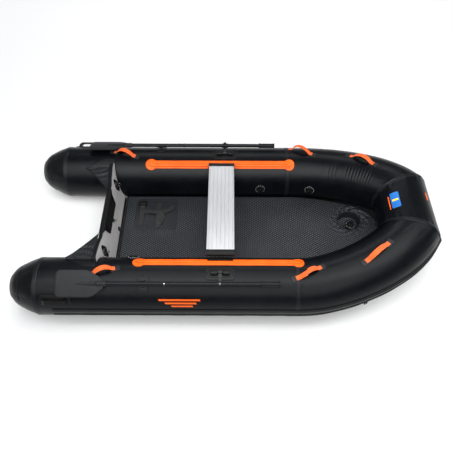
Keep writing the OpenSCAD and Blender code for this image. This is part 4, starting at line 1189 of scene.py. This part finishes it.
# ---------------------------------------------------------------- fuel tank strap on the deck
def strap_base():
    """A bonded base patch with a rolled rim."""
    outline = rounded_loop(0.348, 0.316, 0.034) + np.array([-0.598, 0.162])
    rings = []
    for s, h in ((0.04, 1), (0.25, 1), (0.5, 1), (0.72, 1), (0.86, 1), (0.93, 1.05), (0.965, 1.5), (0.985, 1.4),
                 (1.0, 0.9), (1.0, 0.1)):
        x, y = shrunk(outline, s).T
        wave = 0.0006 * np.sin(x * 60 + y * 45) * (s < 0.9)
        rings.append(np.stack([x, y, DECK_TOP + 0.0004 + 0.0026 * h + wave], -1))
    return ring_part(rings, caps=1)


def ribbon(path, width_dir, width, thick=0.0018):
    """A strap along a path of points; width_dir is its flat direction."""
    width_dir = np.array(width_dir, float)
    t = unit(np.gradient(path, axis=0))
    w = unit(width_dir - (t @ width_dir)[:, None] * t)
    n = np.cross(t, w)
    c, d = squarish(turns(20))
    return ring_part(path[:, None] + (c * width / 2)[None, :, None] * w[:, None]
                     + (d * thick)[None, :, None] * n[:, None])


def spline(points, n=40):
    """Smooth path through points (Catmull-Rom)."""
    p = np.array(points, float)
    p = np.concatenate([[2 * p[0] - p[1]], p, [2 * p[-1] - p[-2]]])
    last = len(p) - 3
    out = []
    for k in range(1, last + 1):
        for t in np.linspace(0, 1, max(4, n // last), endpoint=k == last):
            out.append(0.5 * (2 * p[k] + (p[k + 1] - p[k - 1]) * t
                              + (2 * p[k - 1] - 5 * p[k] + 4 * p[k + 1] - p[k + 2]) * t ** 2
                              + (3 * p[k] - p[k - 1] - 3 * p[k + 1] + p[k + 2]) * t ** 3))
    return np.array(out)


# flat direction, width, then points (x, y, height above the base patch)
TANK_STRAPS = (
    ((1, 0, 0), 0.040, [(-0.720, 0.040, 0), (-0.721, 0.10, .002), (-0.718, 0.17, .006), (-0.721, 0.22, .003),
                        (-0.720, 0.255, .010), (-0.720, 0.285, 0)]),
    ((1, 0, 0), 0.040, [(-0.580, 0.018, 0), (-0.581, 0.08, .004), (-0.577, 0.15, .010), (-0.583, 0.21, .003),
                        (-0.580, 0.276, 0)]),
    ((0, 1, 0), 0.038, [(-0.735, 0.186, .009), (-0.690, 0.184, .006), (-0.640, 0.178, .012),
                        (-0.590, 0.172, .014), (-0.530, 0.184, .006), (-0.475, 0.215, .010),
                        (-0.455, 0.255, .004)]),
    ((1, 0, 0), 0.036, [(-0.586, 0.060, .004), (-0.560, 0.075, .008), (-0.545, 0.12, .006),
                        (-0.560, 0.165, .012)]))
straps = [ribbon(spline([(x, y, DECK_TOP + 0.0055 + h) for x, y, h in points]), flat, width)
          for flat, width, points in TANK_STRAPS]
add("tank_strap_base", *strap_base(), PVC_GREY, nodes=("tank_strap",), slot="black_webbing", sharp=60)
add("tank_strap_webbing", *merge(straps), BLACK_WEB, slot="black_webbing", sharp=60)
refine("tank_buckle", BLACK, 0.0016, 2, 30)

# ---------------------------------------------------------------- hidden chamber walls and plain marks
coat("chamber_baffles", PVC_GREY)

SLANT, STRIPE_H = 0.35, 0.0135
parts = []
for k, w in enumerate((0.290, 0.220, 0.150)):
    y0 = 0.026 * (k - 1)
    low, high = SLANT * y0, SLANT * (y0 + STRIPE_H)
    stripe = smooth_outline([(-w / 2 + low, y0 - STRIPE_H / 2), (w / 2 + low, y0 - STRIPE_H / 2),
                             (w / 2 + high, y0 + STRIPE_H / 2), (-w / 2 + high, y0 + STRIPE_H / 2)], 0.003, 0.004)
    parts += [patch_part(-0.335, 63.0, stripe, 0.0004, sg, rim=0.0004, lift=0.0003) for sg in (1, -1)]
add("side_stripes", *merge(parts), ORANGE, slot="orange_rubber", sharp=50)


def nose_mark(name, mat, slot, a0, y0, size, t, lift=0.0004):
    """A thin patch on the nose; size is its height round the tube, its width and its corner radius."""
    o = rounded_loop(*size)
    outline = np.stack([a0 + np.degrees(o[:, 0] / R), y0 + o[:, 1]], 1)
    rings = []
    for s, h in ((0.05, 1), (0.4, 1), (0.75, 1), (0.97, 1), (1.0, 0.7), (1.0, 0.0)):
        a, y = shrunk(outline, s).T
        rings.append(nose_point(y, a, R + lift + h * t))
    add(name, *ring_part(rings, caps=1), mat, slot=slot, sharp=50)


nose_mark("nose_patch_blue", BLUE, "coated_fabric", -33.0, -0.002, (0.066, 0.140, 0.010), 0.0005)
nose_mark("nose_patch_bar", YELLOW, "coated_fabric", -33.0, -0.002, (0.048, 0.016, 0.005), 0.0004, 0.0010)
nose_mark("nose_bar_orange", ORANGE, "orange_rubber", -46.0, -0.012, (0.009, 0.120, 0.004), 0.0005)
nose_mark("nose_stripe", ORANGE, "orange_rubber", 39.0, 0.040, (0.018, 0.075, 0.006), 0.0005)


# ---------------------------------------------------------------- stage, light and camera
def floor():
    me = bpy.data.meshes.new("floor")
    me.from_pydata([(-14, -14, 0), (14, -14, 0), (14, 14, 0), (-14, 14, 0)], [], [(0, 1, 2, 3)])
    o = link("floor", me)
    o.location.z = -0.001
    m = Nodes("floor_paint")
    m.finish(m.mix(m.noise(0.8, 3), (0.88, 0.88, 0.88), (0.90, 0.90, 0.90)),
             m.spread(m.noise(2.0), 0.75, 0.85), Specular_IOR_Level=0.1)
    me.materials.append(m.mat)
    o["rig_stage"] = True


def area(name, at, aim, size, power):
    light = bpy.data.lights.new(name, "AREA")
    light.shape = "RECTANGLE"
    light.size, light.size_y = size
    light.energy = power
    o = link(name, light)
    o.location = at
    o.rotation_euler = (Vector(aim) - Vector(at)).to_track_quat("-Z", "Y").to_euler()
    return o


floor()
area("softbox_low", (0.15, -0.42, 1.55), (0.15, -0.42, 0.0), (3.6, 1.15), 34).visible_camera = False
area("softbox_far", (0.0, 4.6, 4.4), (0.0, 0.2, 0.3), (5.0, 1.6), 70)
area("softbox_bow", (5.0, 0.6, 3.4), (0.9, 0.0, 0.2), (1.6, 2.6), 40)
sun_data = bpy.data.lights.new("big_softbox", "SUN")
sun_data.energy = 2.5
sun_data.angle = math.radians(70)
link("big_softbox", sun_data).rotation_euler = (math.radians(30), 0, math.radians(-4))
world = bpy.data.worlds.new("studio")
world.use_nodes = True
background = world.node_tree.nodes["Background"].inputs
background["Color"].default_value = (0.92, 0.96, 1.0, 1)
background["Strength"].default_value = 0.22
bpy.context.scene.world = world
bpy.context.scene.view_settings.view_transform = "Standard"

cam_data = bpy.data.cameras.new("camera")
cam_data.lens, cam_data.sensor_width, cam_data.sensor_fit = 39.22, 36.0, "HORIZONTAL"
cam_data.clip_end = 60
cam = link("camera", cam_data)
cam.location = (-0.009, -2.308, 3.400)
forward = Vector((-0.003, 0.584, -0.812)).normalized()
right = forward.cross(Vector((0, 0, 1))).normalized()
cam.rotation_euler = Matrix((right, right.cross(forward), -forward)).transposed().to_euler()
bpy.context.scene.camera = cam

low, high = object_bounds()
